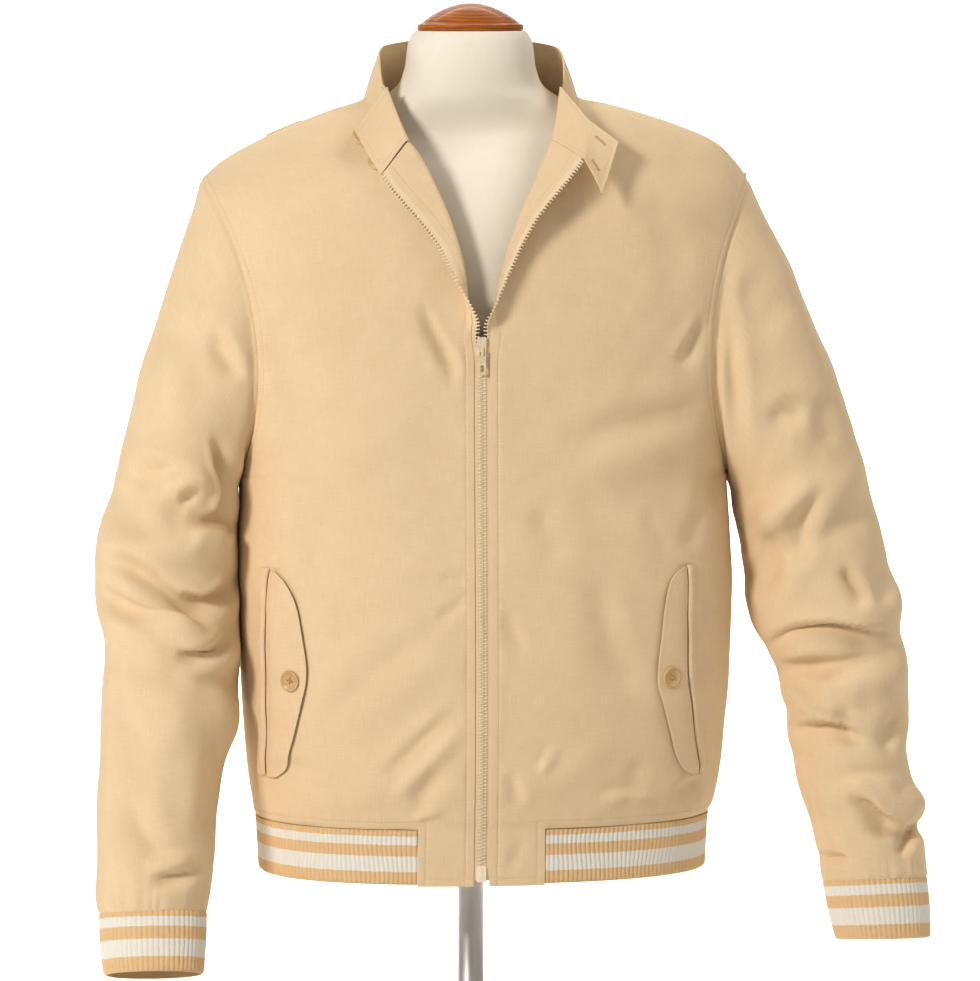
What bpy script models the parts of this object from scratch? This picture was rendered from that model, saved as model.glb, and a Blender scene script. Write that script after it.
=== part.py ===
"""Zip-front cotton jacket with striped knit ribs, resting on a limbless dress form.

Every piece is cut and placed as a maker would sew it: two fronts, a back, two sleeves, a
stand collar, a knit hem and cuffs, pocket flaps, buttons and a zip.  All sizes below are in
millimetres.  Z is up, the front faces -Y and the floor is z = 0 under the pole of the form.
"Right" and "left" are the wearer's, so the right side lies at -X.
"""
import math
from collections import namedtuple

import bmesh
import bpy
from mathutils import Matrix, Vector

MM = 0.001

# ---------------------------------------------------------------- driving sizes
CLOTH = 1.6            # body cloth
COLLAR_CLOTH = 2.0
FLAP_CLOTH = 1.8
KNIT = 2.2             # rib knit under its raised ribs
RIB_RAISE = 0.9        # how far a rib stands out
SEAM = 0.5             # gap that stands for a seam
COLLAR_SEAM = 1.1      # the same along the neck, where the cloth turns sharply
SLEEVE_CLEAR = 1.0     # from a sleeve to the side of the body it hangs against
FLAP_LIFT = 0.9        # from the panel to the underside of its flap
DATUM = 45.0           # heights below are taken from this far above the floor
HEM_Z = 134.0          # lower edge of the plackets
RIB_Z = 135.5          # lower edge of the hem rib
CASING_Z = 186.4       # lower edge of the body panels, where the rib is sewn on
UNDERARM_Z = 501.0
PLACKET_X = 57.6       # from the zip's centre line to the side of the placket
EDGE_X = 7.2           # from the zip's centre line to the folded edge of the cloth
STITCH_X = 14.4        # from the zip's centre line to the line where the lapel starts to roll
ROLL_RADIUS = 2.4      # inside radius of the rolled lapel
BODY_POWER = 2.3       # squareness of the body's sections
RIDGE_Y = 8.0          # the shoulder seam runs along this line
RIDGE_ROUND = 82.0     # height over which the chest rounds over to the shoulder seam
ARMHOLE_DEPTH = 78.0   # half the armhole, front to back
ZIP_X = 1.2            # centre line of the zip
ZIP_GAP = 0.9          # from the cloth's edge to the tape
BOX_LOW_Z = 138.0      # the box that joins the zip's lower ends
BOX_TOP_Z = 153.5
SLIDER_LOW_Z = 614.0
SLIDER_TOP_Z = 632.5
TAB_PIN_Z = 619.5      # the pull tab hangs from this height
TAB_LOW_Z = 598.5
BUTTON_RADIUS = 9.8
BUTTON_HIGH = 3.0
FORM_POWER = 2.15      # squareness of the dress form's sections
BASE_RADIUS = 150.0
BASE_HIGH = 22.0
POLE_RADIUS = 12.5

# How finely the cloth is divided.
MAIN_COLUMNS = 12      # across a front, or across half the back
PLACKET_COLUMNS = 3    # of these, across the placket
BEND_STEPS = 5         # round the lapel's roll
FLAT_STEPS = 2         # across the lapel
STRIP = BEND_STEPS + FLAT_STEPS
SLEEVE_RINGS = 23
RING_STEPS = 20        # round a sleeve, and so round its armhole
COLLAR_LEVELS = 5
HEM_RIBS = 216
CUFF_RIBS = 60

# ---------------------------------------------------------------- tables
Body = namedtuple("Body", "z right left front back")
BODY = (
    Body(HEM_Z, 196, 217, 114, 106),
    Body(186, 199, 220, 119, 110),
    Body(195, 201, 224, 122, 113),
    Body(230, 206, 231, 128, 120),
    Body(280, 210, 236, 131, 124),
    Body(340, 213, 240, 131, 126),
    Body(400, 214, 241, 129, 127),
    Body(450, 214, 239, 126, 127),
    Body(501, 213, 235, 122, 125),
    Body(542, 221, 242, 120, 123),
    Body(636, 241, 258, 118, 119),
    Body(704, 250, 262, 112, 114),
    Body(753, 256, 264, 104, 108),
    Body(800, 258, 266, 92, 98),
    Body(850, 258, 266, 78, 88),
)

Ridge = namedtuple("Ridge", "x right left")
RIDGE = (
    Ridge(0, 905, 905),
    Ridge(40, 884, 884),
    Ridge(70, 862, 863),
    Ridge(98, 842, 844),
    Ridge(128, 832, 837),
    Ridge(160, 819.5, 828),
    Ridge(193, 805, 817),
    Ridge(227, 786, 801.5),
    Ridge(249, 768, 780),
    Ridge(258, 763, 767),
)

Armhole = namedtuple("Armhole", "top_x top_z low_x low_z bow")
ARMHOLE = {
    "right": Armhole(246, 769, 213, UNDERARM_Z, 29),
    "left": Armhole(256, 768, 235, UNDERARM_Z, 30),
}

# The rows of a front above the underarm: its inner end on the roll line, the angle round the
# armhole at its outer end, and how the lapel turns: degrees, straight reach, slant downwards.
Row = namedtuple("Row", "x z around turn reach slant")
ROLL = {
    "right": (
        Row(13.2, 540, 162, 0, 7.1, 0),
        Row(13.2, 578, 144, 0, 7.1, 0),
        Row(13.2, 612, 126, 0, 7.1, 0),
        Row(13.2, 634, 108, 0, 4.6, 0),
        Row(13.6, 652, 99, 60, 5.4, 0),
        Row(14.6, 670, 90, 108, 5.0, 0),
        Row(16.6, 690, 81, 156, 5.6, 4),
        Row(22.6, 715, 72, 178, 8.0, 22),
        Row(31.6, 742, 54, 180, 16.5, 28),
        Row(42.6, 768, 45, 180, 25.0, 35),
        Row(53.0, 788, 36, 180, 30.0, 44),
        Row(64.0, 803, 27, 180, 31.0, 54),
    ),
    "left": (
        Row(15.6, 540, 162, 0, 7.1, 0),
        Row(15.6, 578, 144, 0, 7.1, 0),
        Row(15.6, 612, 126, 0, 7.1, 0),
        Row(15.6, 634, 108, 0, 4.6, 0),
        Row(15.6, 652, 99, 70, 5.4, 0),
        Row(17.6, 670, 90, 102, 5.4, 0),
        Row(22.0, 690, 81, 118, 7.0, 4),
        Row(30.0, 715, 72, 126, 10.0, 18),
        Row(40.0, 742, 54, 128, 17.5, 28),
        Row(52.0, 768, 45, 135, 25.5, 34),
        Row(61.0, 788, 36, 142, 30.5, 44),
        Row(68.5, 803, 27, 150, 31.5, 54),
    ),
}
Neck = namedtuple("Neck", "x z around")
FRONT_NECK = (Neck(76, 810, 18), Neck(86, 820, 12), Neck(93.5, 832, 6), Neck(98, 842.5, 0))
BACK_NECK = (Neck(30, 849, 12), Neck(60, 847, 8), Neck(84, 844.5, 4), Neck(98, 842.5, 0))
LOW_ROWS = (HEM_Z, 151, 169, CASING_Z, 203, 226, 256, 292, 330, 370, 412, 456, UNDERARM_Z)
BACK_LOW_ROWS = (CASING_Z, 212, 252, 300, 352, 404, 454, UNDERARM_Z)
BackRow = namedtuple("BackRow", "z around")
BACK_ROWS = (
    BackRow(540, 162), BackRow(582, 144), BackRow(624, 126), BackRow(666, 108), BackRow(706, 90),
    BackRow(742, 72), BackRow(774, 54), BackRow(802, 36), BackRow(828, 27), BackRow(850, 18),
)

# Sleeve rings: outer and inner points seen from the front, distance from the neck axis and
# height, the middle and half of the depth, and how far the ring bows in to the armhole.
Ring = namedtuple("Ring", "row out_x out_z in_x in_z mid_y depth bow")
SLEEVE = {
    "right": (
        Ring(0, 246, 769, 213, 501, 0, 78, 29),
        Ring(1, 254, 741, 215, 492, 0, 79, 21),
        Ring(2, 267, 703, 215.5, 483, 0, 79, 12),
        Ring(3, 282, 660, 215, 472, -2, 78, 5),
        Ring(4, 296, 615, 214.5, 460, -4, 76, 1),
        Ring(5, 309, 570, 214, 446, -6, 75, 0),
        Ring(6, 320, 525, 214, 428, -8, 73, 0),
        Ring(7, 331, 482, 213.5, 406, -11, 71, 0),
        Ring(8, 342, 442, 213, 382, -15, 69, 0),
        Ring(9, 347, 408, 213, 358, -21, 67, 0),
        Ring(10, 341, 376, 213.5, 334, -28, 65, 0),
        Ring(11, 337.5, 344, 214.5, 308, -36, 62, 0),
        Ring(12, 339.5, 308, 217, 281, -46, 59, 0),
        Ring(13, 341.5, 270, 224, 252, -57, 56, 0),
        Ring(14, 343.5, 232, 231, 220, -68, 53, 0),
        Ring(15, 345, 194, 236, 187, -79, 50, 0),
        Ring(16, 345, 158, 240, 155, -89, 47, 0),
        Ring(17, 347, 128, 243.5, 127, -97, 44, 0),
        Ring(18, 344, 111, 247, 111, -101, 40, 0),
    ),
    "left": (
        Ring(0, 256, 768, 235, 501, 0, 78, 30),
        Ring(1, 267, 743, 237, 493, 0, 79, 21),
        Ring(2, 284, 709, 239.5, 484, 0, 79, 11),
        Ring(3, 302, 671, 242, 474, 0, 78, 4),
        Ring(4, 318, 632, 244.5, 463, -1, 76, 1),
        Ring(5, 334, 594, 247, 449, -2, 75, 0),
        Ring(6, 346.5, 556, 249.5, 433, -4, 73, 0),
        Ring(7, 358, 517, 251, 414, -6, 71, 0),
        Ring(8, 369, 477, 253, 391, -9, 69, 0),
        Ring(9, 380, 438, 258, 366, -12, 67, 0),
        Ring(10, 390, 399, 269, 342, -16, 65, 0),
        Ring(11, 397.5, 361, 283, 316, -21, 62, 0),
        Ring(12, 401.5, 323, 290.5, 289, -26, 59, 0),
        Ring(13, 403.5, 285, 290, 261, -31, 56, 0),
        Ring(14, 400, 251, 292, 233, -36, 53, 0),
        Ring(15, 405, 217, 301, 206, -41, 50, 0),
        Ring(16, 413, 186, 310, 178, -46, 47, 0),
        Ring(17, 416, 151, 316, 147, -51, 44, 0),
        Ring(18, 417, 127, 321, 124, -55, 39, 0),
    ),
}

# A cuff runs on from its sleeve's last ring: outer and inner points at its lower edge.
Cuff = namedtuple("Cuff", "out_x out_z in_x in_z mid_y depth")
CUFF = {
    "right": Cuff(340, 58, 250, 58, -117, 35),
    "left": Cuff(419, 73, 331.5, 72, -63, 35),
}

# Soft folds that show from a step away, as ridges (height > 0) and troughs.  On the body they
# run between two points seen from the front; on a sleeve between two places given by the
# angle round the arm (0 outside, 90 front, 180 inside, 270 back) and the height.
Fold = namedtuple("Fold", "u1 z1 u2 z2 wide height")
BODY_FOLDS = {
    "front": (
        Fold(-45, 660, -16, 580, 15, -2.4),
        Fold(-150, 285, -12, 385, 20, 3.0),
        Fold(-120, 252, -12, 335, 17, -2.6),
        Fold(-190, 480, -60, 560, 26, 2.6),
        Fold(76, 530, 225, 560, 26, 3.0),
        Fold(100, 500, 150, 300, 24, -2.4),
        Fold(205, 690, 212, 530, 14, 4.0),
        Fold(-205, 650, -204, 520, 14, 3.0),
        Fold(30, 215, 120, 262, 18, 2.4),
        Fold(-175, 205, -80, 222, 13, 2.4),
    ),
    "back": (
        Fold(-170, 560, -60, 470, 26, 3.0),
        Fold(160, 580, 40, 480, 26, 3.0),
        Fold(-150, 250, 10, 330, 22, 3.0),
        Fold(150, 235, 60, 300, 20, -2.6),
        Fold(-60, 212, 90, 222, 13, 2.4),
        Fold(-190, 690, -175, 540, 16, 3.0),
        Fold(195, 690, 180, 540, 16, 3.0),
    ),
}
SLEEVE_FOLDS = {
    "right": (
        Fold(70, 520, 165, 478, 17, 7.5),
        Fold(62, 484, 160, 446, 13, -5.5),
        Fold(20, 440, 150, 438, 16, 8.0),
        Fold(5, 406, 140, 372, 13, -8.5),
        Fold(10, 376, 150, 340, 15, 8.0),
        Fold(40, 336, 170, 312, 13, -5.5),
        Fold(70, 305, 190, 272, 20, 4.0),
        Fold(40, 168, 140, 150, 15, 4.0),
        Fold(290, 430, 200, 400, 20, 5.0),
        Fold(330, 370, 220, 340, 18, 5.0),
        Fold(300, 190, 230, 175, 15, 3.5),
    ),
    "left": (
        Fold(30, 505, 160, 440, 17, 6.5),
        Fold(30, 474, 140, 420, 13, -5.0),
        Fold(5, 388, 160, 352, 15, 7.5),
        Fold(10, 352, 170, 318, 13, -7.5),
        Fold(40, 316, 190, 296, 15, 7.5),
        Fold(90, 262, 200, 232, 15, -6.0),
        Fold(0, 198, 150, 208, 13, 7.0),
        Fold(-10, 172, 110, 178, 10, -7.0),
        Fold(20, 128, 150, 136, 13, 5.0),
        Fold(330, 420, 220, 372, 20, 5.0),
        Fold(320, 330, 210, 305, 18, 5.0),
        Fold(330, 170, 230, 182, 15, 4.5),
    ),
}

# Top edge of the stand collar, from the roll to the middle of the back (right side).
Top = namedtuple("Top", "x y z")
COLLAR_TOP = (
    Top(80, -45, 850), Top(83, -33, 862), Top(84.5, -19, 873), Top(84, -4, 882), Top(81.5, 10, 888),
    Top(74, 36, 891), Top(55, 56, 894), Top(29, 68, 896), Top(0, 72, 897),
)
# Turned-out end of the collar: the way it lies from the roll at its top edge, and its reach.
TurnedTop = namedtuple("TurnedTop", "lay_x lay_y lay_z reach turn")
COLLAR_TURN = {
    "right": TurnedTop(-32, -28, -43, 48, 176),
    "left": TurnedTop(26, -40, -36, 44, 178),
}
TAB_LOW = (15, -5, -30)      # the left end runs past the zip: its lower and upper edges
TAB_HIGH = (25, -14, -19)

# Pocket flap: hinge and free edge seen from the front.
Flap = namedtuple("Flap", "z hinge_x edge_x")
FLAP = {
    "right": (
        Flap(229, 190, 182), Flap(238, 190, 174), Flap(258, 190, 168.5), Flap(282, 190, 163),
        Flap(303, 190, 158), Flap(318, 190, 155), Flap(334, 190, 154.5), Flap(357, 190, 157.5),
        Flap(382, 190, 161.5), Flap(397, 190, 166), Flap(410, 189.5, 174), Flap(418, 188, 183),
    ),
    "left": (
        Flap(229, 203, 195), Flap(234, 203, 187), Flap(249, 201, 178.5), Flap(274, 197, 172),
        Flap(297, 193, 165.5), Flap(315, 190.5, 160.5), Flap(333, 190, 161), Flap(360, 190, 164.5),
        Flap(389, 190, 167.5), Flap(407, 190, 171.5), Flap(416, 189.5, 178), Flap(420, 189, 184),
    ),
}
FLAP_BUTTON = {"right": (-168, 320.5), "left": (173.5, 321.5)}

# Dress form in level sections.  Its left shoulder is set a little higher, by the tip given.
Form = namedtuple("Form", "z wide front back middle_y tip")
FORM_BODY = (
    Form(166, 172, 88, 86, 0, 0), Form(172, 178, 94, 92, 0, 0), Form(220, 184, 100, 98, 0, 0),
    Form(300, 178, 98, 98, 0, 0), Form(380, 180, 98, 98, 0, 0), Form(460, 188, 101, 98, 0, 0),
    Form(540, 186, 103, 98, 0, 0), Form(620, 180, 103, 96, 0, 1), Form(680, 184, 99, 93, 0, 3),
    Form(721, 197, 93, 88, 1, 5), Form(751.6, 203, 84, 80, 3, 7), Form(773.1, 209, 73, 71, 5, 9),
    Form(788.2, 205, 63, 62, 7, 9.5), Form(800.2, 193, 57, 57, 8, 9), Form(810.1, 171, 53, 55, 8, 7.5),
    Form(820, 146, 53, 54, 8, 5), Form(828.7, 119.5, 55, 54, 8, 2.5), Form(837, 97, 57, 54, 7, 0.5),
    Form(846.5, 80, 58, 55, 5, 0), Form(856, 67, 58, 56, 4, 0), Form(868, 60.5, 57, 56, 3, 0),
    Form(880, 58.5, 56, 56, 2, 0), Form(891, 57, 55, 55, 2, 0), Form(899, 54.5, 53, 53, 2, 0),
    Form(904, 50.5, 49, 49, 2, 0),
)

SIGN = {"right": -1.0, "left": 1.0}    # of x


# ---------------------------------------------------------------- small helpers
def smooth_read(table, key, name, at):
    """Value of a table's named column, on a smooth curve through its rows."""
    keys = [getattr(row, key) for row in table]
    values = [getattr(row, name) for row in table]
    if at <= keys[0]:
        return float(values[0])
    if at >= keys[-1]:
        return float(values[-1])
    i = max(j for j in range(len(keys) - 1) if keys[j] <= at)

    def slope(j):
        a, b = max(j - 1, 0), min(j + 1, len(keys) - 1)
        return (values[b] - values[a]) / (keys[b] - keys[a])

    span = keys[i + 1] - keys[i]
    t = (at - keys[i]) / span
    rise = values[i + 1] - values[i]
    bend = (slope(i) * span - rise) * (1 - t) - (slope(i + 1) * span - rise) * t
    return values[i] + rise * t + t * (1 - t) * bend


def mix(a, b, t):
    return a + (b - a) * t


def fold_push(folds, u, z, u_size=1.0, turn=None):
    """How far the folds push a point out, given its place on the piece."""
    push = 0.0
    for fold in folds:
        du, dz = (fold.u2 - fold.u1) * u_size, fold.z2 - fold.z1
        pu = u - fold.u1
        if turn:
            pu = (pu + turn / 2) % turn - turn / 2
        pu *= u_size
        pz = z - fold.z1
        length = math.hypot(du, dz)
        along = (pu * du + pz * dz) / length ** 2
        across = abs(pu * dz - pz * du) / length
        if -0.25 < along < 1.25:
            fade = math.cos(math.pi * max(abs(along - 0.5) - 0.25, 0)) ** 2
            push += fold.height * fade * math.exp(-(across / fold.wide) ** 2)
    return push


def material(name, color, roughness, metallic=0.0):
    made = bpy.data.materials.new(name)
    made.use_nodes = True
    shader = made.node_tree.nodes["Principled BSDF"]
    shader.inputs["Base Color"].default_value = (*color, 1.0)
    shader.inputs["Roughness"].default_value = roughness
    shader.inputs["Metallic"].default_value = metallic
    return made


def add_object(name, points, faces, look, smooth=True, origin=(0, 0, -DATUM)):
    """A named object from points in millimetres, its faces turned outwards."""
    mesh = bpy.data.meshes.new(name)
    bm = bmesh.new()
    verts = [bm.verts.new((Vector(p) - Vector(origin)) * MM) for p in points]
    for face in faces:
        bm.faces.new([verts[i] for i in face])
    bmesh.ops.recalc_face_normals(bm, faces=bm.faces)
    if bm.calc_volume(signed=True) < 0:
        bmesh.ops.reverse_faces(bm, faces=bm.faces)
    bm.to_mesh(mesh)
    bm.free()
    mesh.materials.append(look)
    if smooth:
        mesh.shade_smooth()
        mesh.set_sharp_from_angle(angle=math.radians(50))
    made = bpy.data.objects.new(name, mesh)
    made.location = (Vector(origin) + Vector((0, 0, DATUM))) * MM
    bpy.context.scene.collection.objects.link(made)
    return made


def face_normals(points, faces):
    """Mean outward direction at each point, from the faces that meet there."""
    normals = {i: Vector() for face in faces for i in face}
    for face in faces:
        corners = [points[i] for i in face]
        direction = Vector()
        for a, b in zip(corners, corners[1:] + corners[:1]):
            direction += (a - corners[0]).cross(b - corners[0])
        for i in face:
            normals[i] += direction
    return {i: n.normalized() for i, n in normals.items()}


def halves(points, face):
    """The two triangles of a quad, cut along its shorter diagonal."""
    a, b, c, d = face
    if (points[a] - points[c]).length <= (points[b] - points[d]).length:
        return [[a, b, c], [a, c, d]]
    return [[a, b, d], [b, c, d]]


def cloth_wall(name, sheet, faces, look, thick=CLOTH, fixed=None):
    """Close a sheet of quads into a wall: its points are the outside, the inside lies behind
    them, and both sides are divided alike, so that the wall never crosses itself."""
    used = sorted({i for face in faces for i in face})
    number = {old: new for new, old in enumerate(used)}
    outer = [Vector(sheet[i]) for i in used]
    faces = [[number[i] for i in face] for face in faces]
    normals = face_normals(outer, faces)
    for old, normal in (fixed or {}).items():
        if old in number:
            normals[number[old]] = Vector(normal).normalized()
    inner = [point - normals[i] * thick for i, point in enumerate(outer)]
    faces = [half for face in faces for half in halves(outer, face)]
    count = len(outer)
    edges = {}
    for face in faces:
        for a, b in zip(face, face[1:] + face[:1]):
            edges[(a, b)] = True
    rims = [(b, a, a + count, b + count) for a, b in edges if (b, a) not in edges]
    backs = [[i + count for i in reversed(face)] for face in faces]
    return add_object(name, outer + inner, faces + backs + rims, look)


def grid_faces(rows, columns, index, keep=lambda r, c: True, flip=False):
    """Quads of a grid whose points are numbered by index(row, column)."""
    faces = []
    for r in range(rows - 1):
        for c in range(columns - 1):
            if keep(r, c):
                face = [index(r, c), index(r, c + 1), index(r + 1, c + 1), index(r + 1, c)]
                faces.append(face[::-1] if flip else face)
    return faces


# ---------------------------------------------------------------- body surface
def ridge_z(side, x):
    return smooth_read(RIDGE, "x", side, abs(x))


def body_half(side, z):
    return smooth_read(BODY, "z", side, z)


def body_y(x, z, side, face):
    """Depth of the body's outer surface at a place seen from the front."""
    half = body_half(side, z)
    deep = smooth_read(BODY, "z", face, z)
    part = min(abs(x) / half, 1.0)
    flat = deep * (1 - part ** BODY_POWER) ** (1 / BODY_POWER)
    drop = max(ridge_z(side, x) - z, 0.0)
    lift = 1.0
    if drop < RIDGE_ROUND:
        lift = math.sqrt(1 - (1 - drop / RIDGE_ROUND) ** 2)
    if face == "front":
        return RIDGE_Y - (RIDGE_Y + flat) * lift
    return RIDGE_Y + (flat - RIDGE_Y) * lift


def armhole_curve(side, angle, face):
    """Smooth run of the armhole: 0 is the shoulder, 180 the underarm."""
    hole = ARMHOLE[side]
    c, s = math.cos(math.radians(angle)), math.sin(math.radians(angle))
    x = mix(hole.low_x, hole.top_x, (1 + c) / 2) - hole.bow * s * s
    z = mix(hole.low_z, hole.top_z, (1 + c) / 2)
    middle = RIDGE_Y * (1 + c) / 2
    y = middle + (-1 if face == "front" else 1) * ARMHOLE_DEPTH * s
    return Vector((SIGN[side] * x, y, z))


def armhole_point(side, angle, face):
    """Point of the armhole seam, straight between the places where a sleeve has its points."""
    step = 360 / RING_STEPS
    low = math.floor(angle / step) * step
    a, b = armhole_curve(side, low, face), armhole_curve(side, low + step, face)
    return a.lerp(b, (angle - low) / step)


def armhole_out(side, angle, face):
    """Mean outward direction of the cloth along the armhole seam."""
    c, s = math.cos(math.radians(angle)), math.sin(math.radians(angle))
    away = 0.15 + 0.8 * max(c, 0.0) ** 2
    y = -s if face == "front" else s
    return Vector((SIGN[side] * away, y, c)).normalized()


def armhole_across(side, angle, face):
    """Direction across the armhole seam, from the sleeve to the body."""
    step = 2.0
    low, high = max(angle - step, 0.0), min(angle + step, 180.0)
    run = armhole_curve(side, high, face) - armhole_curve(side, low, face)
    across = run.cross(armhole_out(side, angle, face)).normalized()
    if across.x * SIGN[side] > 0:
        across.negate()
    return across


def spread(count, near, far, half, even):
    """Places along a row, from its inner end to the side; crowded where the side rounds away."""
    start = math.asin(min((PLACKET_X / half) ** (BODY_POWER / 2), 1.0))
    places = []
    for i in range(count):
        uniform = near + (far - near) * i / (count - 1)
        if i <= PLACKET_COLUMNS:
            round_x = near + (PLACKET_X - STITCH_X) * i / PLACKET_COLUMNS
        else:
            angle = mix(start, math.pi / 2, (i - PLACKET_COLUMNS) / (count - 1 - PLACKET_COLUMNS))
            share = math.sin(angle) ** (2 / BODY_POWER)
            first = math.sin(start) ** (2 / BODY_POWER)
            edge = near + PLACKET_X - STITCH_X
            round_x = mix(edge, far, (share - first) / (1 - first))
        places.append(mix(round_x, uniform, even))
    return places


def body_row(side, face, inner, outer, even, top):
    """Points of one row of a panel, from its inner end to the side seam or armhole."""
    near, far = abs(inner[0]), abs(outer[0])
    half = body_half(side, inner[1])
    points = []
    for i, x in enumerate(spread(MAIN_COLUMNS, near, far, half, even)):
        share = (x - near) / (far - near)
        z = mix(inner[1], outer[2], share)
        chord = mix(ridge_z(side, near), ridge_z(side, far), share)
        z += top * (ridge_z(side, x) - chord)
        z = min(z, ridge_z(side, x))
        y = body_y(x, z, side, face)
        if i == MAIN_COLUMNS - 1:
            points.append(Vector(outer))
            continue
        miss = outer[1] - body_y(far, outer[2], side, face)
        y += miss * share ** 4
        calm = min((1 - share) * 5, share * 6 + 0.25, 1.0)
        push = fold_push(BODY_FOLDS[face], SIGN[side] * x, z) * calm
        y += -push if face == "front" else push
        points.append(Vector((SIGN[side] * x, y, z)))
    return points


def hook(root, inwards, outwards, turn, reach):
    """Section of a rolled edge: an arc from the root, then a straight reach to the zip."""
    angle = math.radians(turn)
    arc = [angle * i / BEND_STEPS for i in range(1, BEND_STEPS + 1)]
    points = [root + inwards * (ROLL_RADIUS * math.sin(a)) + outwards * (ROLL_RADIUS * (1 - math.cos(a)))
              for a in arc]
    way = inwards * math.cos(angle) + outwards * math.sin(angle)
    if turn < 20:
        points = [root + way * (reach * 0.12 * i) for i in range(1, BEND_STEPS + 1)]
        rest = reach * 0.4
    else:
        rest = reach
    last = points[-1]
    points += [last + way * (rest * i / FLAT_STEPS) for i in range(1, FLAT_STEPS + 1)]
    return points


def roll_frame(side, x, z, slant):
    """Root of the lapel's roll on the chest, and its two directions."""
    sign = SIGN[side]
    root = Vector((sign * x, body_y(x, z, side, "front"), z))
    step = 4.0
    run = Vector((sign * step, body_y(x + step, z, side, "front") - root.y, 0))
    rise = Vector((0, body_y(x, z + step, side, "front") - root.y, step))
    outwards = run.cross(rise).normalized()
    if outwards.y > 0:
        outwards.negate()
    lean = math.radians(slant)
    lay = run.normalized() * math.cos(lean) - rise.normalized() * math.sin(lean)
    lay = (lay - outwards * lay.dot(outwards)).normalized()
    return root, -lay, outwards


# ---------------------------------------------------------------- fronts
def front_rows(side):
    """Rows of a front: the rolled strip, from the zip to the roll, then the chest."""
    rows = []
    sign = SIGN[side]
    centre = ZIP_X * sign
    for z in LOW_ROWS:
        near = STITCH_X + centre
        outer = Vector((sign * body_half(side, z), 0, z))
        main = body_row(side, "front", (near, z), outer, 0.0, 0.0)
        _, inwards, outwards = roll_frame(side, near, z, 0)
        strip = hook(main[0], inwards, outwards, 0, STITCH_X - EDGE_X)
        rows.append((strip, main))
    count = len(ROLL[side]) + len(FRONT_NECK)
    for j, row in enumerate(ROLL[side] + FRONT_NECK):
        outer = armhole_point(side, row.around, "front")
        outer += armhole_across(side, row.around, "front") * SEAM / 2
        top = max(0.0, (j + 1 - count) / 7 + 1) ** 1.5
        x = min(row.x, ARMHOLE[side].top_x)
        z = ridge_z(side, x) if row.around == 0 else row.z
        even = min(1.0, (j + 1) / 6)
        main = body_row(side, "front", (x, z), outer, even, top)
        if row.around == 0:
            main = [Vector((p.x, RIDGE_Y - SEAM / 2, p.z)) for p in main]
        strip = None
        if isinstance(row, Row):
            _, inwards, outwards = roll_frame(side, x, z, row.slant)
            strip = hook(main[0], inwards, outwards, row.turn, row.reach)
        rows.append((strip, main))
    return rows


def make_front(side, look):
    rows = front_rows(side)
    columns = STRIP + MAIN_COLUMNS
    sheet, index = [], {}
    for r, (strip, main) in enumerate(rows):
        points = (list(reversed(strip)) if strip else [None] * STRIP) + main
        for c, point in enumerate(points):
            if point is not None:
                index[(r, c)] = len(sheet)
                sheet.append(point)
    casing_row = LOW_ROWS.index(CASING_Z)
    last_placket = STRIP + PLACKET_COLUMNS

    def keep(r, c):
        if r < casing_row and c >= last_placket:
            return False
        return all((r + dr, c + dc) in index for dr in (0, 1) for dc in (0, 1))

    faces = grid_faces(len(rows), columns, lambda r, c: index.get((r, c)), keep, side == "right")
    fixed = {}
    seam_top = len(rows) - 1
    for c in range(columns):
        if (seam_top, c) in index:
            slope = ridge_z(side, abs(sheet[index[(seam_top, c)]].x) - 6)
            slope -= ridge_z(side, abs(sheet[index[(seam_top, c)]].x) + 6)
            fixed[index[(seam_top, c)]] = (SIGN[side] * slope, 0, 12)
    for r in range(casing_row, len(LOW_ROWS)):
        fixed[index[(r, columns - 1)]] = (SIGN[side], 0, 0)
    for j, row in enumerate(ROLL[side] + FRONT_NECK):
        fixed[index[(len(LOW_ROWS) + j, columns - 1)]] = armhole_out(side, row.around, "front")
    under = index[(len(LOW_ROWS) - 1, columns - 1)]
    fixed[under] = (SIGN[side], 0, -0.6)
    for r in range(len(LOW_ROWS)):
        sheet[index[(r, columns - 1)]] += Vector((0, -SEAM / 2, 0))
    cloth_wall(f"front_{side}", sheet, faces, look, fixed=fixed)
    return rows


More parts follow.
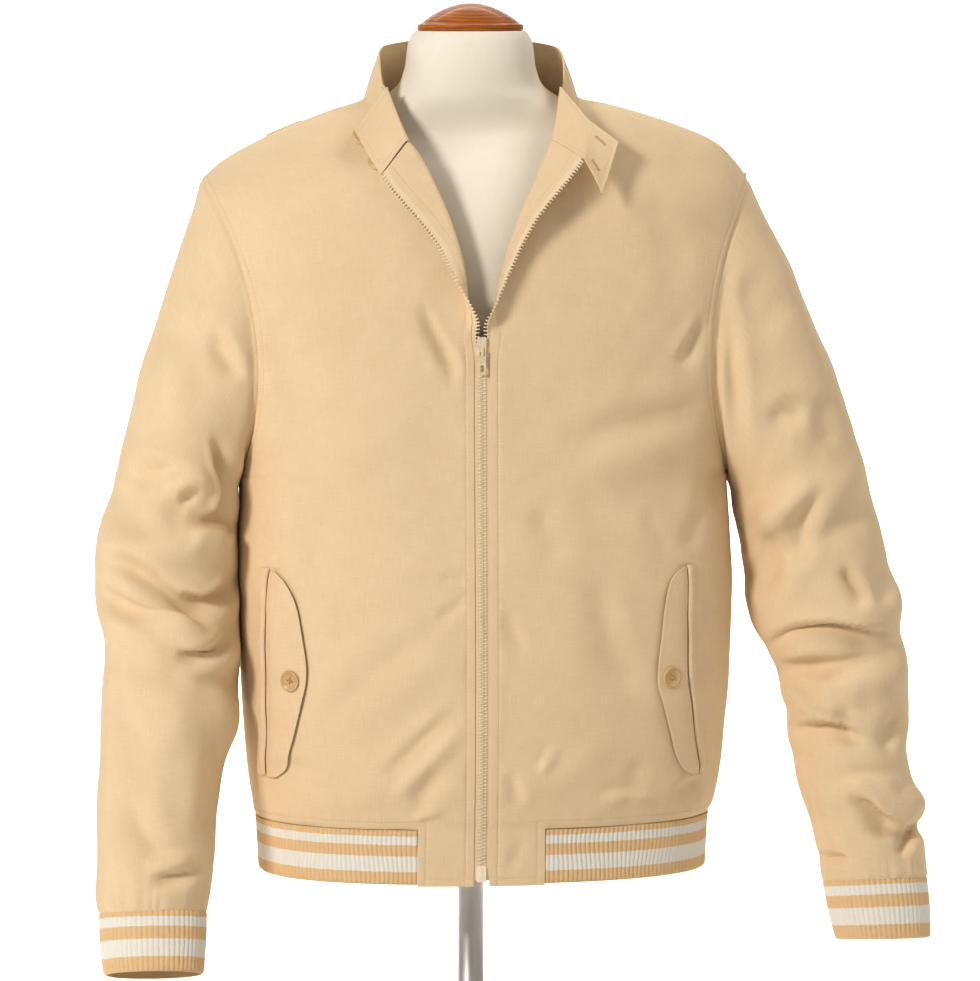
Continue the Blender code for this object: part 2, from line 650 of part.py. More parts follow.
# ---------------------------------------------------------------- back
def make_back(look):
    """One piece from side seam to side seam, its neck edge cut out between the shoulders."""
    sheet, index = [], {}
    low = len(BACK_LOW_ROWS)
    split = low + len(BACK_ROWS) - 1
    rows = split + 1 + len(BACK_NECK)
    neck_points = {}
    fixed = {}
    for side in ("right", "left"):
        for r in range(rows):
            around, top, even, near = 180, 0.0, 0.35, 0.0
            if r < low:
                z = BACK_LOW_ROWS[r]
                outer = Vector((SIGN[side] * body_half(side, z), SEAM / 2, z))
                out = (SIGN[side], 0, 0) if r < low - 1 else (SIGN[side], 0, -0.6)
            else:
                row = (BACK_ROWS + BACK_NECK)[r - low]
                z, around = row.z, row.around
                near = row.x if r > split else 0.0
                outer = armhole_point(side, around, "back")
                outer += armhole_across(side, around, "back") * SEAM / 2
                top = max(0.0, (r + 1 - rows) / 8 + 1) ** 1.5
                even = min(1.0, 0.35 + (r - low) / 6)
                out = armhole_out(side, around, "back")
            if around == 0:
                z = ridge_z(side, near)
            points = back_row(side, (near, z), outer, even, top)
            if around == 0:
                points = [Vector((p.x, RIDGE_Y + SEAM / 2, p.z)) for p in points]
            for c, point in enumerate(points):
                key = (side, r, c)
                if c == 0 and r <= split:
                    key = ("middle", r, 0)
                if key not in index:
                    index[key] = len(sheet)
                    sheet.append(point)
                if c == len(points) - 1:
                    fixed[index[key]] = out
                elif r == rows - 1:
                    slope = ridge_z(side, abs(point.x) - 6) - ridge_z(side, abs(point.x) + 6)
                    fixed[index[key]] = (SIGN[side] * slope, 0, 12)
            neck_points[(side, r)] = points[0]

    def find(side, r, c):
        return index[("middle", r, 0)] if c == 0 and r <= split else index[(side, r, c)]

    faces = []
    for side in ("right", "left"):
        faces += grid_faces(rows, MAIN_COLUMNS, lambda r, c, s=side: find(s, r, c),
                            lambda r, c: True, side == "left")
    cloth_wall("back", sheet, faces, look, fixed=fixed)
    return {side: [neck_points[(side, r)] for r in range(split, rows)] for side in SIGN}


def back_row(side, inner, outer, even, top):
    near, far = inner[0], abs(outer[0])
    count = MAIN_COLUMNS
    points = []
    for i in range(count):
        share = i / (count - 1)
        round_share = math.sin(share * math.pi / 2) ** (2 / BODY_POWER)
        share = mix(round_share, share, even)
        x = mix(near, far, share)
        z = mix(inner[1], outer[2], share)
        chord = mix(ridge_z(side, near), ridge_z(side, far), share)
        z = min(z + top * (ridge_z(side, x) - chord), ridge_z(side, x))
        if i == count - 1:
            points.append(Vector(outer))
            continue
        miss = outer[1] - body_y(far, outer[2], side, "back")
        y = body_y(x, z, side, "back") + miss * share ** 4
        calm = min((1 - share) * 5, 1.0)
        y += fold_push(BODY_FOLDS["back"], SIGN[side] * x, z) * calm
        points.append(Vector((SIGN[side] * x, y, z)))
    return points


# ---------------------------------------------------------------- sleeves and cuffs
def ring_centre(side, row):
    read = {name: smooth_read(SLEEVE[side], "row", name, row) for name in Ring._fields[1:]}
    x = (read["out_x"] + read["in_x"]) / 2
    z = (read["out_z"] + read["in_z"]) / 2
    return Vector((SIGN[side] * x, read["mid_y"], z)), read


def sleeve_point(side, row, angle):
    """Point of a sleeve: ring 0 is the armhole, angle 0 the outside of the arm, 90 its front."""
    centre, read = ring_centre(side, row)
    last = len(SLEEVE[side]) - 1
    before, after = ring_centre(side, max(row - 0.5, 0))[0], ring_centre(side, min(row + 0.5, last))[0]
    lean = math.atan2(before.y - after.y, before.z - after.z) * min(row / 4, 1.0)
    c, s = math.cos(math.radians(angle)), math.sin(math.radians(angle))
    reach = Vector((SIGN[side] * (read["out_x"] - read["in_x"]) / 2, 0,
                    (read["out_z"] - read["in_z"]) / 2))
    deep = Vector((0, -math.cos(lean), math.sin(lean))) * read["depth"]
    point = centre + reach * c + deep * s
    point.x -= SIGN[side] * read["bow"] * s * s
    point.y += RIDGE_Y * (1 + c) / 2 * max(1 - row / 4, 0.0)
    calm = min(row / 2.5, (last - row) / 1.5, 1.0)
    push = fold_push(SLEEVE_FOLDS[side], angle, point.z, 1.1, 360) * calm
    away = (reach.normalized() * c + deep.normalized() * s).normalized()
    point += away * push
    if row > 2 and point.z < UNDERARM_Z:
        point.x = SIGN[side] * max(abs(point.x), body_half(side, point.z) + SLEEVE_CLEAR)
    return point


def make_sleeve(side, look):
    last = len(SLEEVE[side]) - 1
    sheet, fixed = [], {}
    for r in range(SLEEVE_RINGS):
        row = last * r / (SLEEVE_RINGS - 1)
        for c in range(RING_STEPS):
            angle = 360 * c / RING_STEPS
            point = sleeve_point(side, row, angle)
            if r == 0:
                face = "front" if angle <= 180 else "back"
                bent = angle if angle <= 180 else 360 - angle
                point = armhole_point(side, bent, face)
                point -= armhole_across(side, bent, face) * SEAM / 2
                fixed[len(sheet)] = armhole_out(side, bent, face)
            sheet.append(point)
    faces = [[r * RING_STEPS + c, r * RING_STEPS + (c + 1) % RING_STEPS,
              (r + 1) * RING_STEPS + (c + 1) % RING_STEPS, (r + 1) * RING_STEPS + c]
             for r in range(SLEEVE_RINGS - 1) for c in range(RING_STEPS)]
    if side == "right":
        faces = [face[::-1] for face in faces]
    cloth_wall(f"sleeve_{side}", sheet, faces, look, fixed=fixed)


def knit_wall(name, outline, levels, ribs, look, closed, inner_steps):
    """A ribbed knit band: raised ribs outside, a plain coarse wall inside.

    outline(share, level) gives the outer point and its outward direction.
    """
    columns = ribs * 2 + (0 if closed else 1)
    inner_columns = inner_steps + (0 if closed else 1)
    points = []
    for level in levels:
        for c in range(columns):
            point, out = outline(c / (ribs * 2), level)
            raised = RIB_RAISE if c % 2 else 0.0
            points.append(point + out * raised)
    rows = len(levels)
    first_inner = len(points)
    for level in (levels[0], levels[-1]):
        for c in range(inner_columns):
            point, out = outline(c / inner_steps, level)
            points.append(point - out * KNIT)
    faces = []
    wrap = columns if closed else columns - 1
    for r in range(rows - 1):
        for c in range(wrap):
            d = (c + 1) % columns
            faces.append([r * columns + c, r * columns + d, (r + 1) * columns + d, (r + 1) * columns + c])
    inner_wrap = inner_columns if closed else inner_columns - 1
    ratio = ribs * 2 // inner_steps
    for c in range(inner_wrap):
        d = (c + 1) % inner_columns
        a, b = first_inner + c, first_inner + d
        e, f = a + inner_columns, b + inner_columns
        faces.append([b, a, e, f])
        for outer_row, low, high in ((0, a, b), ((rows - 1) * columns, e, f)):
            run = [outer_row + (c * ratio + k) % columns for k in range(ratio + 1)]
            half = ratio // 2
            for k in range(ratio):
                anchor = low if k < half else high
                faces.append([run[k + 1], run[k], anchor] if outer_row == 0 else [run[k], run[k + 1], anchor])
            middle = run[half]
            faces.append([middle, low, high] if outer_row == 0 else [middle, high, low])
    if not closed:
        ends = ((0, first_inner, first_inner + inner_columns),
                (columns - 1, first_inner + inner_columns - 1, first_inner + 2 * inner_columns - 1))
        for column, low, high in ends:
            run = [r * columns + column for r in range(rows)]
            face = [low] + run + [high]
            faces.append(face if column else face[::-1])
    return add_object(name, points, faces, look, smooth=False)


def arc_lengths(points):
    total = [0.0]
    for a, b in zip(points, points[1:]):
        total.append(total[-1] + (b - a).length)
    return total


def hem_path(z):
    """The hem's way round the body from the right placket to the left one, evenly stepped."""
    right, left = body_half("right", z), body_half("left", z)
    front, back = (smooth_read(BODY, "z", face, z) for face in ("front", "back"))
    gap = SEAM
    start = PLACKET_X - ZIP_X + gap
    stop = PLACKET_X + ZIP_X + gap
    first = math.asin((start / right) ** (BODY_POWER / 2))
    final = 2 * math.pi - math.asin((stop / left) ** (BODY_POWER / 2))
    fine = 400
    points = []
    for i in range(fine + 1):
        t = mix(first, final, i / fine)
        s, c = math.sin(t), math.cos(t)
        half = right if s > 0 else left
        deep = front if c > 0 else back
        x = -half * math.copysign(abs(s) ** (2 / BODY_POWER), s)
        y = -deep * math.copysign(abs(c) ** (2 / BODY_POWER), c)
        points.append(Vector((x, y, z)))
    return points


def make_hem(look):
    levels = (RIB_Z, CASING_Z - SEAM)
    paths = {z: hem_path(z) for z in levels}
    lengths = {z: arc_lengths(paths[z]) for z in levels}

    def outline(share, z):
        path, total = paths[z], lengths[z]
        want = share * total[-1]
        i = min(max(j for j in range(len(total)) if total[j] <= want + 1e-9), len(path) - 2)
        t = (want - total[i]) / (total[i + 1] - total[i])
        run = path[i + 1] - path[i]
        out = Vector((0, 0, 1)).cross(run).normalized()
        return path[i] + run * t - out * RIB_RAISE, out

    knit_wall("hem_rib", outline, levels, HEM_RIBS, look, False, 54)


def make_cuff(side, look):
    last = len(SLEEVE[side]) - 1
    end = CUFF[side]
    low_centre = Vector((SIGN[side] * (end.out_x + end.in_x) / 2, end.mid_y, (end.out_z + end.in_z) / 2))
    low_reach = Vector((SIGN[side] * (end.out_x - end.in_x) / 2, 0, (end.out_z - end.in_z) / 2))
    high_centre, _ = ring_centre(side, last)
    lean = math.atan2(high_centre.y - low_centre.y, high_centre.z - low_centre.z)
    low_deep = Vector((0, -math.cos(lean), math.sin(lean))) * end.depth
    axis = (low_centre - high_centre).normalized()

    def outline(share, level):
        angle = 360 * share
        c, s = math.cos(math.radians(angle)), math.sin(math.radians(angle))
        high = sleeve_point(side, last, angle) + axis * SEAM
        low = low_centre + low_reach * c + low_deep * s
        point = high.lerp(low, level)
        centre = high_centre.lerp(low_centre, level)
        away = point - centre
        out = (away - axis * away.dot(axis)).normalized()
        return point - out * RIB_RAISE, out

    knit_wall(f"cuff_{side}", outline, (0.0, 1.0), CUFF_RIBS, look, True, 20)


# ---------------------------------------------------------------- collar
def collar_columns(side, front, neck_back):
    """Columns of half the collar from its free end to the middle of the back.

    Each column is a list of points from the neck seam up to the top edge.
    """
    sign = SIGN[side]
    corner = len(LOW_ROWS) + len(ROLL[side]) - 1
    row = ROLL[side][-1]
    _, inwards, outwards = roll_frame(side, row.x, row.z, row.slant)
    root = front[corner][1][0]
    turned = COLLAR_TURN[side]
    fold_top = Vector((sign * COLLAR_TOP[0].x, COLLAR_TOP[0].y, COLLAR_TOP[0].z))
    lay_top = Vector((turned.lay_x, turned.lay_y, turned.lay_z)).normalized()
    fold_way = (fold_top - root).normalized()
    out_top = fold_way.cross(lay_top).normalized()
    if out_top.y > 0:
        out_top.negate()
    columns = []
    shares = [i / (COLLAR_LEVELS - 1) for i in range(COLLAR_LEVELS)]
    hooks = []
    for share in shares:
        at = root.lerp(fold_top, share) + fold_way * COLLAR_SEAM * (1 - share)
        inward = inwards.lerp(-lay_top, share).normalized()
        outward = outwards.lerp(out_top, share)
        outward = (outward - inward * outward.dot(inward)).normalized()
        reach = mix(row.reach, turned.reach, share) + EDGE_X - SEAM
        points = hook(at, inward, outward, mix(row.turn, turned.turn, share), reach)
        if side == "left":
            way = Vector(TAB_LOW).lerp(Vector(TAB_HIGH), share)
            points += [points[-1] + way / 2, points[-1] + way]
        hooks.append(points)
    for c in reversed(range(len(hooks[0]))):
        columns.append([points[c] for points in hooks])
    seam = [front[corner + k][1][0] for k in range(len(FRONT_NECK) + 1)]
    seam = seam[:-1] + neck_back[side][::-1]
    for base, top in zip(seam, COLLAR_TOP):
        high = Vector((sign * top.x, top.y, top.z))
        way = (high - base).normalized()
        start = base + way * COLLAR_SEAM
        columns.append([start.lerp(high, share) for share in shares])
    return columns


def make_collar(fronts, neck_back, look):
    right = collar_columns("right", fronts["right"], neck_back)
    left = collar_columns("left", fronts["left"], neck_back)
    columns = right + left[-2::-1]
    sheet = [point for column in columns for point in column]
    faces = grid_faces(len(columns), COLLAR_LEVELS, lambda r, c: r * COLLAR_LEVELS + c)
    cloth_wall("collar", sheet, faces, look, thick=COLLAR_CLOTH)
    return right


# ---------------------------------------------------------------- zip
def make_zip_half(side, front, look):
    """Tape and tooth bead along the edge of a front, up to the collar."""
    rows = [r for r in front if r[0] is not None]
    paths = []
    for strip, main in rows:
        edge, before = strip[-1], strip[-2]
        away = (edge - before).normalized()
        paths.append((edge, away))
    tape, bead, bead_from, bead_to = 0.4, 1.2, 3.9, EDGE_X - 0.25
    profile = ((ZIP_GAP, tape), (bead_from - 0.1, tape), (bead_from, bead), (bead_to, bead),
               (bead_to, -bead), (bead_from, -bead), (bead_from - 0.1, -tape), (ZIP_GAP, -tape))
    points = []
    used = []
    for i, (edge, away) in enumerate(paths):
        if rows[i][1][0].z < BOX_TOP_Z and rows[i + 1][1][0].z < BOX_TOP_Z:
            continue
        a, b = paths[max(i - 1, 0)][0], paths[min(i + 1, len(paths) - 1)][0]
        run = (b - a).normalized()
        out = away.cross(run).normalized()
        if side == "left":
            out.negate()
        middle = edge - out * CLOTH / 2
        if not used:
            middle = middle + (paths[i + 1][0] - edge) * (
                (BOX_TOP_Z - edge.z) / (paths[i + 1][0].z - edge.z))
        used.append(i)
        if i == len(paths) - 1:
            middle += (paths[i - 1][0] - edge) * 0.3
        points.append([middle + away * across + out * up for across, up in profile])
    count = len(profile)
    flat = [p for ring in points for p in ring]
    faces = [[r * count + c, r * count + (c + 1) % count, (r + 1) * count + (c + 1) % count,
              (r + 1) * count + c] for r in range(len(points) - 1) for c in range(count)]
    faces.append(list(range(count)))
    faces.append([len(flat) - count + i for i in range(count)][::-1])
    return add_object(f"zip_{side}", flat, faces, look, smooth=False)


def zip_front_y(z):
    """Depth of the cloth's outer surface beside the closed zip."""
    return body_y(STITCH_X, z, "left", "front")


def box_points(low, high):
    """Corners of a box, numbered x first, then y, then z."""
    (x0, y0, z0), (x1, y1, z1) = low, high
    return [Vector((x, y, z)) for z in (z0, z1) for y in (y0, y1) for x in (x0, x1)]


BOX_FACES = ((0, 2, 3, 1), (4, 5, 7, 6), (0, 1, 5, 4), (2, 6, 7, 3), (0, 4, 6, 2), (1, 3, 7, 5))


def block(name, low, high, look, bevel=0.0, origin=(0, 0, -DATUM)):
    made = add_object(name, box_points(low, high), BOX_FACES, look, smooth=False, origin=origin)
    if bevel:
        rounded = made.modifiers.new("edges", "BEVEL")
        rounded.width = bevel * MM
        rounded.segments = 2
    return made


def union(target, *others):
    """Join solids that meet into one closed body."""
    for other in others:
        joined = target.modifiers.new("join", "BOOLEAN")
        joined.operation = "UNION"
        joined.solver = "EXACT"
        joined.object = other
        other.hide_render = True
        other.display_type = "WIRE"


def cut(target, *cutters):
    for cutter in cutters:
        opening = target.modifiers.new("cut", "BOOLEAN")
        opening.operation = "DIFFERENCE"
        opening.solver = "EXACT"
        opening.object = cutter
        cutter.hide_render = True
        cutter.display_type = "WIRE"


def make_slider(look):
    """Two plates either side of the tapes, their post, and the bridge that holds the pull tab."""
    middle = zip_front_y((SLIDER_LOW_Z + SLIDER_TOP_Z) / 2) + CLOTH / 2
    half_wide, half_gap, plate = 4.3, 1.85, 1.6
    front, back = middle - half_gap, middle + half_gap
    low, high = SLIDER_LOW_Z, SLIDER_TOP_Z
    bar_y = front - 5.4
    bar = 1.2
    leg_low, leg_high = TAB_PIN_Z - 3.4, TAB_PIN_Z + 1.9
    body = block("slider", (ZIP_X - half_wide, front - plate, low), (ZIP_X + half_wide, front, high),
                 look, 0.5)
    rear = block("slider_rear", (ZIP_X - half_wide, back, low), (ZIP_X + half_wide, back + plate, high), look)
    post = block("slider_post", (ZIP_X - 0.7, front - 0.5, high - 2.6),
                 (ZIP_X + 0.7, back + 0.5, high - 0.2), look)
    bridge = block("slider_bridge", (ZIP_X - bar, bar_y, leg_low), (ZIP_X + bar, bar_y + bar, leg_high + 1),
                   look)
    legs = [block(f"slider_leg_{i}", (ZIP_X - bar, bar_y + 0.3, z), (ZIP_X + bar, front - 1.0, z + 1), look)
            for i, z in enumerate((leg_low, leg_high))]
    union(body, rear, post, bridge, *legs)
    return front


def make_pull_tab(plate_y, look):
    """A flat tab with an eye round the slider's bridge; it swings about its pin."""
    pin = Vector((ZIP_X, plate_y - 3.0, TAB_PIN_Z + 0.65))
    wide, thick = 3.6, 0.6
    tab = block("pull_tab", (ZIP_X - wide, pin.y - thick, TAB_LOW_Z),
                (ZIP_X + wide, pin.y + thick, pin.z + thick), look, origin=pin)
    eye = block("tab_eye", (ZIP_X - 1.9, pin.y - 2, TAB_PIN_Z - 4.2),
                (ZIP_X + 1.9, pin.y + 2, TAB_PIN_Z + 0.1), look)
    window = block("tab_window", (ZIP_X - 1.8, pin.y - 2, TAB_LOW_Z + 2.5),
                   (ZIP_X + 1.8, pin.y + 2, TAB_LOW_Z + 8.5), look)
    cut(tab, eye, window)


def make_zip_box(look):
    middle = zip_front_y((BOX_LOW_Z + BOX_TOP_Z) / 2) + CLOTH / 2
    block("zip_box", (ZIP_X - 4.4, middle - 2.0, BOX_LOW_Z), (ZIP_X + 4.4, middle + 1.6, BOX_TOP_Z - SEAM),
          look, 0.6)


# ---------------------------------------------------------------- pocket flaps and buttons
def make_flap(side, look):
    rows, columns = 15, 4
    table = FLAP[side]
    low, high = table[0].z, table[-1].z
    sheet = []
    for r in range(rows):
        share = 0.5 - 0.5 * math.cos(math.pi * r / (rows - 1))
        z = mix(low, high, share)
        hinge = smooth_read(table, "z", "hinge_x", z)
        edge = smooth_read(table, "z", "edge_x", z)
        for c in range(columns):
            x = mix(hinge, edge, c / (columns - 1))
            y = body_y(x, z, side, "front")
            y -= fold_push(BODY_FOLDS["front"], SIGN[side] * x, z)
            out = FLAP_LIFT + FLAP_CLOTH
            slope = (body_y(x + 3, z, side, "front") - body_y(x - 3, z, side, "front")) / 6
            away = Vector((SIGN[side] * slope, -1, 0)).normalized()
            sheet.append(Vector((SIGN[side] * x, y, z)) + away * out)
    faces = grid_faces(rows, columns, lambda r, c: r * columns + c, flip=side == "left")
    cloth_wall(f"pocket_flap_{side}", sheet, faces, look, thick=FLAP_CLOTH)


def turned(name, profile, steps, look, place=None):
    """A solid turned round its own Z from (radius, height) pairs, first and last on the axis."""
    points, rings = [], []
    for radius, height in profile:
        if radius == 0:
            rings.append([len(points)])
            points.append(Vector((0, 0, height)))
        else:
            rings.append(list(range(len(points), len(points) + steps)))
            points += [Vector((radius * math.cos(2 * math.pi * i / steps),
                               radius * math.sin(2 * math.pi * i / steps), height)) for i in range(steps)]
    faces = []
    for a, b in zip(rings, rings[1:]):
        for i in range(steps):
            j = (i + 1) % steps
            face = [a[i % len(a)], a[j % len(a)], b[j % len(b)], b[i % len(b)]]
            faces.append(list(dict.fromkeys(face)))
    if place is not None:
        points = [place @ p for p in points]
    return add_object(name, points, faces, look)


def button(name, at, out, look):
    """A flat button with a raised rim, its back at the given point."""
    r, h = BUTTON_RADIUS, BUTTON_HIGH
    profile = ((0, 0), (r - 1.2, 0), (r, h * 0.5), (r - 1.2, h), (r - 3.2, h * 0.62), (0, h * 0.62))
    place = Matrix.Translation(at) @ Vector((0, 0, 1)).rotation_difference(out).to_matrix().to_4x4()
    turned(name, profile, 16, look, place)


def make_buttons(collar_right, look):
    for side in ("right", "left"):
        x, z = FLAP_BUTTON[side]
        y = body_y(x, z, side, "front") - fold_push(BODY_FOLDS["front"], x, z)
        slope = (body_y(abs(x) + 3, z, side, "front") - body_y(abs(x) - 3, z, side, "front")) / 6
        away = Vector((SIGN[side] * slope, -1, 0)).normalized()
        lift = FLAP_LIFT + FLAP_CLOTH + 0.5
        button(f"flap_button_{side}", Vector((x, y, z)) + away * lift, away, look)
    end, inner = collar_right[0], collar_right[1]
    for name, share in (("collar_button_low", 0.22), ("collar_button_high", 0.78)):
        place = share * (COLLAR_LEVELS - 1)
        k = int(place)
        low, high = end[k].lerp(end[k + 1], place - k), inner[k].lerp(inner[k + 1], place - k)
        inwards = (high - low).normalized()
        up = end[k + 1] + inner[k + 1] - end[k] - inner[k]
        down = up.cross(inwards).normalized()
        if down.y < 0:
            down.negate()
        button(name, low + inwards * 7.0 + down * 0.75, down, look)


# ---------------------------------------------------------------- dress form and stand
def make_form(look):
    """Smooth limbless torso and neck, seated under the jacket's shoulders."""
    steps = 32
    rings = []
    points = []
    for row in FORM_BODY:
        ring = []
        for i in range(steps):
            t = 2 * math.pi * i / steps
            s, c = math.sin(t), math.cos(t)
            deep = row.front if c > 0 else row.back
            x = row.wide * math.copysign(abs(s) ** (2 / FORM_POWER), s)
            y = row.middle_y - deep * math.copysign(abs(c) ** (2 / FORM_POWER), c)
            ring.append(len(points))
            points.append(Vector((x, y, row.z + row.tip * (1 + x / row.wide) / 2)))
        rings.append(ring)
    faces = [[a[i], a[(i + 1) % steps], b[(i + 1) % steps], b[i]]
             for a, b in zip(rings, rings[1:]) for i in range(steps)]
    faces += [rings[0][::-1], rings[-1]]
    add_object("form_torso", points, faces, look)


def make_stand(looks):
    floor = -DATUM
    low = floor + BASE_HIGH
    turned("base", ((0, floor), (BASE_RADIUS, floor), (BASE_RADIUS, low - 9), (BASE_RADIUS - 5, low - 2),
                    (BASE_RADIUS - 14, low), (0, low)), 32, looks["wood"])
    turned("pole", ((0, low + 0.3), (POLE_RADIUS, low + 0.3), (POLE_RADIUS, FORM_BODY[0].z - 0.3),
                    (0, FORM_BODY[0].z - 0.3)), 20, looks["metal"])
    neck = FORM_BODY[-1].z + 0.3
    cap = ((0, neck), (47.6, neck), (48.6, neck + 1.2), (48.6, neck + 4.6), (46.0, neck + 7.0),
           (34, neck + 14.5), (17, neck + 22), (0, neck + 25.0))
    turned("neck_cap", cap, 28, looks["wood"], Matrix.Translation(Vector((0, 2, 0))))


# ---------------------------------------------------------------- the whole part
def main():
    for old in list(bpy.data.objects):
        bpy.data.objects.remove(old, do_unlink=True)
    looks = {
        "twill": material("tan_twill", (0.80, 0.64, 0.42), 0.85),
        "knit": material("striped_knit", (0.85, 0.76, 0.62), 0.9),
        "linen": material("form_cloth", (0.86, 0.80, 0.69), 0.9),
        "wood": material("stained_wood", (0.40, 0.13, 0.03), 0.25),
        "metal": material("zip_metal", (0.85, 0.75, 0.60), 0.35, 0.8),
        "zip": material("zip_tape", (0.84, 0.72, 0.54), 0.6),
        "button": material("tan_button", (0.62, 0.44, 0.25), 0.35),
    }
    fronts = {side: make_front(side, looks["twill"]) for side in ("right", "left")}
    neck_back = make_back(looks["twill"])
    for side in ("right", "left"):
        make_sleeve(side, looks["twill"])
        make_cuff(side, looks["knit"])
        make_zip_half(side, fronts[side], looks["zip"])
        make_flap(side, looks["twill"])
    collar_right = make_collar(fronts, neck_back, looks["twill"])
    make_hem(looks["knit"])
    make_pull_tab(make_slider(looks["metal"]), looks["metal"])
    make_zip_box(looks["metal"])
    make_buttons(collar_right, looks["button"])
    make_form(looks["linen"])
    make_stand(looks)


main()
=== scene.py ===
"""Looks of a zip-front cotton jacket on its limbless dress form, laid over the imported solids.

Every cloth piece is made again as a thin shell on the surface of its solid, from the same named
sizes and tables, with the finer creases, seams, stitches, ribs and zip teeth added.  Sizes are in
millimetres until a mesh is made.  Z is up and the front faces -Y; heights in the tables are taken
from DATUM above the floor.  "Right" and "left" are the wearer's: the right side lies at -X.
"""
import math
from collections import namedtuple

import bpy
import numpy as np
from mathutils import Matrix, Vector


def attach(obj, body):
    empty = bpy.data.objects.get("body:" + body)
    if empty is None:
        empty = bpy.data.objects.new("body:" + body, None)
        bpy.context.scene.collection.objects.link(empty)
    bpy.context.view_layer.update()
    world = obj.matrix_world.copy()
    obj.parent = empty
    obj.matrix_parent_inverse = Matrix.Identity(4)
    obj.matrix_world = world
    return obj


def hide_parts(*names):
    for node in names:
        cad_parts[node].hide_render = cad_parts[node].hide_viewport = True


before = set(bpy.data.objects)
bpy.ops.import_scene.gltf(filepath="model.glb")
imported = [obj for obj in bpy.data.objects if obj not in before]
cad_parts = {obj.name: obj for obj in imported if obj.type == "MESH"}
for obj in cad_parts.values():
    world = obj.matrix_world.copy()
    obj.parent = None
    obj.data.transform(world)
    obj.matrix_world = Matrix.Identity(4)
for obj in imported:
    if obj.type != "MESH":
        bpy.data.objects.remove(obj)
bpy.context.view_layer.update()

MM = 0.001

# ---------------------------------------------------------------- driving sizes
SHELL = 1.3            # thickness of the body cloth
COLLAR_SHELL = 1.6
FLAP_SHELL = 1.4
CLOTH = 1.6            # thickness of the solids' cloth
KNIT = 2.2
RIB_RAISE = 0.9
SEAM = 0.5
TUCK = 1.4             # how far an edge runs on under its neighbour at a seam
ARM_TUCK = {"right": 1.4, "left": 4.2}        # how deep a sleeve dips beside its front seam
SLEEVE_CLEAR = {"right": -0.7, "left": 0.2}   # the right arm rests against the body
FLAP_LIFT = 0.9
DATUM = 45.0
HEM_Z = 134.0
RIB_Z = 135.5
CASING_Z = 186.4
CASING_STITCH_Z = 194.0
UNDERARM_Z = 501.0
PLACKET_X = 57.6
EDGE_X = 7.2
STITCH_X = 14.4
ROLL_RADIUS = 2.4
BODY_POWER = 2.3
RIDGE_Y = 8.0
RIDGE_ROUND = 82.0
RIDGE_OVERLAP = 1.1    # front and back cross this far over each other along the shoulder
ARMHOLE_DEPTH = 78.0
ZIP_X = 1.2
BOX_LOW_Z = 138.0
BOX_TOP_Z = 153.5
SLIDER_LOW_Z = 614.0
SLIDER_TOP_Z = 632.5
TAB_PIN_Z = 619.5
TAB_LOW_Z = 598.5
TOOTH_PITCH = 3.3      # along one side of the zip
BUTTON_RADIUS = 9.8
BUTTON_HIGH = 3.0
FORM_POWER = 2.15
FORM_IN = 1.3          # the smooth form stays this far inside its solid under the shoulders
BASE_RADIUS = 150.0
BASE_HIGH = 22.0
POLE_RADIUS = 12.5
HEM_RIBS = 216
CUFF_RIBS = 60
RIB_STEPS = 8          # columns of points for each rib
STITCH_PITCH = 3.0
STITCH_LONG = 2.2
STITCH_WIDE = 0.55
GRID = 3.4             # usual spacing of the points on the body cloth
CREASE_DEPTH = 1.95    # scale of the heights in the body's crease tables
SLEEVE_DEPTH = 2.6     # and in the sleeves'
CREASE_FADE = 0.34     # share of a finer crease over which it fades, at each end
CREASE_LEAST = 3.6     # least width of one
GROOVE = 0.42          # how deep a line of stitches sits in the cloth
HEM_STITCH = 7.0       # height of the placket's hem stitches over the hem
PLACKET_STITCH = 7.0   # how far inside the placket's outer edge it is stitched
ARMHOLE_STITCHES = (1.5, 7.0)          # two lines beside the armhole seam
COLLAR_STITCH = 5.5    # inside the collar's top edge and ends
COLLAR_LOW_STITCH = 5.0

# ---------------------------------------------------------------- tables shared with the solids
# Half widths and half depths of the body at a height.
Body = namedtuple("Body", "z right left front back")
BODY = (
    Body(HEM_Z, 196, 217, 114, 106), Body(186, 199, 220, 119, 110), Body(195, 201, 224, 122, 113),
    Body(230, 206, 231, 128, 120), Body(280, 210, 236, 131, 124), Body(340, 213, 240, 131, 126),
    Body(400, 214, 241, 129, 127), Body(450, 214, 239, 126, 127), Body(501, 213, 235, 122, 125),
    Body(542, 221, 242, 120, 123), Body(636, 241, 258, 118, 119), Body(704, 250, 262, 112, 114),
    Body(753, 256, 264, 104, 108), Body(800, 258, 266, 92, 98), Body(850, 258, 266, 78, 88),
)
# Height of the shoulder line at a distance from the middle, on either side.
Ridge = namedtuple("Ridge", "x right left")
RIDGE = (
    Ridge(0, 905, 905), Ridge(40, 884, 884), Ridge(70, 862, 863), Ridge(98, 842, 844),
    Ridge(128, 832, 837), Ridge(160, 819.5, 828), Ridge(193, 805, 817), Ridge(227, 786, 801.5),
    Ridge(249, 768, 780), Ridge(258, 763, 767),
)
Armhole = namedtuple("Armhole", "top_x top_z low_x low_z bow")
ARMHOLE = {
    "right": Armhole(246, 769, 213, UNDERARM_Z, 29),
    "left": Armhole(256, 768, 235, UNDERARM_Z, 30),
}
LOW_ROWS = (HEM_Z, 151, 169, CASING_Z, 203, 226, 256, 292, 330, 370, 412, 456, UNDERARM_Z)
